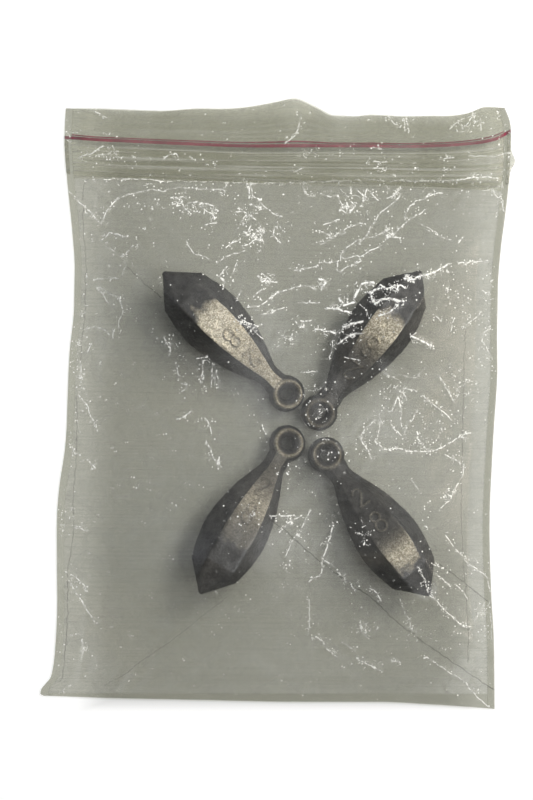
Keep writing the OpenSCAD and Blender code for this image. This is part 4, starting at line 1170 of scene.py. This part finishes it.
for side_name, side in HALVES:
    half = slice(None, middle_column + 1) if side < 0 else slice(middle_column, None)
    piece = film_mesh("draped_mouth_film_" + side_name, sheet, sheet_x, sheet_y, FILM_T, clear_film,
                      np.s_[crease_row:, half])
    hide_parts("mouth_film")
    opens_with_mouth(piece)


# The back film
# The second layer lies flat under the sinkers. It is the same polyethylene, and against the
# surface below it looks darker and greyer than the front.
BACK_Z = 0.05
BACK_UNEVEN = 0.02
BACK_T = 0.06
back_material = film("back_polyethylene_film", "#eaeae6", "#b4b5ae", 0.11, die_lines=0.05, blotches=0.12)
x, y = np.meshgrid(np.linspace(-SEAL_X, SEAL_X, 165), np.linspace(FOLD_Y, POUCH_Y, 193))
z = BACK_Z + BACK_UNEVEN * facets(x, y, 5.0, 0.9, 8)
back = film_mesh("laid_back_film", np.stack([*lay(x, y), z], -1), x, y, BACK_T, back_material, creased=False)
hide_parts("back_film")
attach(back, "bag")


# The seals and the fold
# Down both sides the two layers are cut and welded by a hot wire, which leaves a narrow
# puckered band. Across the bottom the film is one piece, folded back and pressed flat.
SEAL_T = 0.2
SEAL_Z = 0.13
# The waves of a seal's pucker: height and length over a full turn
PUCKER_HEIGHTS = (0.25, 0.15, 0.1)
PUCKER_LENGTHS = (7.0, 3.1, 1.3)
FOLD_RISE = 0.12
seal_material = film("welded_film_edge", "#e2e2dc", "#a7a8a0", 0.16)


def seal_lift(y, seed):
    """The lift of a seal's outer edge: 0.05 mm, and 0.12 mm times half plus three sine waves, with
    a random start each, cut off below nought."""
    rng = np.random.default_rng(seed)
    wave = sum(height * np.sin(y / length + phase) for height, length, phase in
               zip(PUCKER_HEIGHTS, PUCKER_LENGTHS, rng.uniform(0, 6.28, 3)))
    return 0.05 + 0.12 * np.clip(0.5 + wave, 0, 1.2)


for name, side in HALVES:
    x, y = np.meshgrid(np.linspace(SEAL_X, HALF_W, 7) * side, np.linspace(-TOP_Y, TOP_Y, 300))
    x = x[:, ::side]
    outward = (np.abs(x) - SEAL_X) / (HALF_W - SEAL_X)
    z = SEAL_Z + 0.05 * facets(x, y, 1.6, 0.3, 6) + outward * seal_lift(y, 11 + side)
    seal = film_mesh("puckered_" + name + "_seal", np.stack([*lay(x, y), z], -1), x, y, SEAL_T, seal_material)
    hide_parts(name + "_seal")
    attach(seal, "bag")

x, y = np.meshgrid(np.linspace(-SEAL_X, SEAL_X, 240), np.linspace(-TOP_Y, FOLD_Y, 8))
z = SEAL_Z + 0.04 * facets(x, y, 2.2, 0.7, 9) + FOLD_RISE * (FOLD_Y - y) / (TOP_Y + FOLD_Y)
fold = film_mesh("pressed_bottom_fold", np.stack([*lay(x, y), z], -1), x, y, SEAL_T, seal_material)
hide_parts("bottom_fold")
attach(fold, "bag")


# The zip
# Each half is a strip of thicker polyethylene, extruded with its film: a rib on the back half
# and a two-jawed channel on the front half. Fine ridges run along both.
zip_high = np.array(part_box("front_zip")[1]) / MM
back_zip_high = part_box("back_zip")[1][2] / MM
LIP_Y = zip_high[1]
ZIP_X = zip_high[0]
WEB_Y = POUCH_Y + 2.0
RIB_Y = (WEB_Y + LIP_Y) / 2
WEB_T = 0.2
WEB_Z = 0.25
# The two grip ridges: how far each is from the rib, its height and its half width
GRIP_OFFSET = 1.45
GRIP_HEIGHT = 0.16
GRIP_HALF = 0.25
RIBBING_HEIGHT = 0.03
RIBBING_PITCH = 0.7
BACK_WEB_Z = 0.1
BACK_WEB_T = 0.14
RIB_HALF = 0.5
zip_material = film("extruded_zip_strip", "#eeeeea", "#c4c4bc", 0.02, gloss=0.3, die_lines=0.24)


def zip_height(x, y):
    """Height of the front web: a smooth slope up from the film, then a level strip 0.1 mm under
    the CAD's top, with two grip ridges and finer ribbing, and a slow wave of 0.12 mm along it.
    Towards each end it sinks within 4 mm."""
    rise = np.clip((y - POUCH_Y) / (WEB_Y - POUCH_Y), 0, 1)
    level = WEB_Z + (zip_high[2] - 0.35) * rise * rise * (3 - 2 * rise)
    ridges = sum(GRIP_HEIGHT * np.exp(-((y - RIB_Y - off) / GRIP_HALF) ** 2)
                 for off in (-GRIP_OFFSET, GRIP_OFFSET))
    ribbing = RIBBING_HEIGHT * np.sin(y * 2 * math.pi / RIBBING_PITCH) * rise
    end = np.clip((SEAL_X - np.abs(x)) / 4, 0, 1)
    wave = 0.12 * facets(x, y, 6.0, 0.1, 12) * rise
    return WEB_Z + (level - WEB_Z + ridges * rise + ribbing) * end * (2 - end) + wave


# So many columns of points from the middle one to each seal. The two halves share the middle.
HALF_COLUMNS = 99
LEFT_PART, RIGHT_PART = np.s_[:, :HALF_COLUMNS + 1], np.s_[:, HALF_COLUMNS:]
x, y = np.meshgrid(np.linspace(-SEAL_X, SEAL_X, 2 * HALF_COLUMNS + 1), np.linspace(POUCH_Y, LIP_Y, 44))
web_points = np.stack([*lay(x, y), zip_height(x, y)], -1)
for side_name, side in HALVES:
    web = film_mesh("front_zip_" + side_name, web_points, x, y, WEB_T, zip_material,
                    LEFT_PART if side < 0 else RIGHT_PART)
    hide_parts("front_zip")
    opens_with_mouth(web)

x, y = np.meshgrid(np.linspace(-SEAL_X, SEAL_X, 200), np.linspace(POUCH_Y, LIP_Y, 44))
rib = np.exp(-((y - RIB_Y) / RIB_HALF) ** 4)
z = BACK_WEB_Z + rib * (back_zip_high - 0.2) * np.clip((ZIP_X - np.abs(x)) / 2, 0, 1)
web_points = np.stack([*lay(x, y), z], -1)
web = film_mesh("back_zip_strip", web_points, x, y, BACK_WEB_T, zip_material, creased=False)
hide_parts("back_zip")
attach(web, "bag")


# The crushed zip ends
# Where the hot wire cuts the zip, its two halves melt into a small flat lump on the seal, of
# the zip's own polyethylene. The right one has a nub that was squeezed out past the edge.
LUMP_T = 0.3
LUMP_INWARD = 1.2
NUB_REACH = 1.1
for name, side in HALVES:
    low, high = (np.array(corner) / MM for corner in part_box(name + "_zip_weld"))
    outer = max(abs(low[0]), abs(high[0]))
    a, b = np.meshgrid(np.linspace(0, 1, 24), np.linspace(-1, 1, 40))
    # It stands 0.6 mm high at its inner edge, falls by the square of the way out, and thins to
    # its ends. The nub is a bell curve.
    thick = np.sqrt(np.clip(1 - b ** 4, 0, 1))
    nub = NUB_REACH * np.exp(-((b + 0.1) / 0.28) ** 2) if side > 0 else 0.0 * b
    x = side * (outer - LUMP_INWARD + a * (HALF_W - outer + LUMP_INWARD + nub))
    y = RIB_Y + b * (LIP_Y - POUCH_Y) / 2
    z = 0.25 + 0.35 * (1 - a ** 2) * thick + 0.08 * facets(x, y, 1.3, 0.4, 14)
    x, y, z = x[:, ::side], y[:, ::side], z[:, ::side]
    lump_points = np.stack([*lay(x, y), z], -1)
    lump = film_mesh("crushed_" + name + "_zip_end", lump_points, x, y, LUMP_T, zip_material)
    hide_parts(name + "_zip_weld")
    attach(lump, "bag")


# The lips and their stripes
# Above the zip the two layers end in plain lips that part for the fingers. Each has a
# raspberry line in the film, broad on the front lip and thin on the back one.
LINE_PINK = ("#7a1634", "#921f40")
LINE_STREAK = 2.5
LINE_HALF = 0.38
LINE_T = 0.06
# The thin line lies this far above the broad one, so that both show
THIN_LINE_UP = 0.9
THIN_LINE_HALF = 0.14
THIN_LINE_T = 0.05
# How far a line is under the front lip's middle, or over the back lip's
LINE_DEEP = 0.09
lip_material = film("lip_polyethylene_film", "#f5f5f1", "#c9c9c2", 0.03, die_lines=0.05)
stripe_pink, tree, out = new_material("raspberry_masterbatch_line")
where = add(tree, "TexCoord")
streak = add(tree, "TexNoise", {"Vector": (where, "Object"), "Scale": 1 / (LINE_STREAK * MM), "Detail": 3.0})
tone = add(tree, "ValToRGB", {"Fac": (streak, "Fac")})
for element, position, shade in zip(tone.color_ramp.elements, (0.35, 0.65), LINE_PINK):
    element.position = position
    element.color = linear(shade)
dye = add(tree, "BsdfPrincipled", {"Base Color": (tone, "Color"), "Roughness": 0.3, "IOR": 1.5})
tree.links.new(dye.outputs[0], out.inputs["Surface"])


def lip_height(x, y, front):
    """Height of a lip: level with its zip half, and lifted towards its free edge by the square of
    the way there, times a wave: a hill of 0.9 mm right of the middle and two sines of 0.5 and
    0.25 mm. The back lip takes less of it. Both stay shut within 8 mm of the seals."""
    free = np.clip((y - LIP_Y) / (TOP_Y - LIP_Y), 0, 1)
    wave = 0.9 * blob(x, 0 * y, 1, 0, 9, 1) + 0.5 * np.sin(x / 9 + 1) + 0.25 * np.sin(x / 3.7)
    base = zip_height(x, LIP_Y + 0 * y) if front else BACK_WEB_Z + 0 * x
    shut = np.clip((SEAL_X - np.abs(x)) / 8, 0, 1)
    lifted = (0.45 + 0.55 * wave) if front else (0.15 + 0.35 * wave)
    return base + free * free * np.maximum(lifted, 0) * shut + 0.10 * facets(x, y, 4.0, 0.6, 15) * free * shut


x, y = np.meshgrid(np.linspace(-SEAL_X, SEAL_X, 2 * HALF_COLUMNS + 1), np.linspace(LIP_Y, TOP_Y, 30))
lip_points = np.stack([*lay(x, y), lip_height(x, y, True)], -1)
line_x, line_y = np.meshgrid(np.linspace(-HALF_W, HALF_W, 2 * HALF_COLUMNS + 1),
                             STRIPE_Y + np.linspace(-LINE_HALF, LINE_HALF, 5))
line_points = np.stack([*lay(line_x, line_y), lip_height(line_x, line_y, True) - LINE_DEEP], -1)
for side_name, side in HALVES:
    half = LEFT_PART if side < 0 else RIGHT_PART
    lip = film_mesh("front_lip_" + side_name, lip_points, x, y, FILM_T, lip_material, half)
    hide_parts("front_lip")
    opens_with_mouth(lip)
    line = film_mesh("front_line_" + side_name, line_points, line_x, line_y, LINE_T, stripe_pink, half)
    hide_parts("front_stripe")
    opens_with_mouth(line)

x, y = np.meshgrid(np.linspace(-SEAL_X, SEAL_X, 200), np.linspace(LIP_Y, TOP_Y, 30))
lip_points = np.stack([*lay(x, y), lip_height(x, y, False)], -1)
lip = film_mesh("back_lip_sheet", lip_points, x, y, FILM_T, back_material, creased=False)
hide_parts("back_lip")
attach(lip, "bag")
thin_y = STRIPE_Y + THIN_LINE_UP + np.linspace(-THIN_LINE_HALF, THIN_LINE_HALF, 3)
x, y = np.meshgrid(np.linspace(-SEAL_X, SEAL_X, 300), thin_y)
line_points = np.stack([*lay(x, y), lip_height(x, y, False) + LINE_DEEP], -1)
line = film_mesh("back_line", line_points, x, y, THIN_LINE_T, stripe_pink)
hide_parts("back_stripe")
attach(line, "bag")
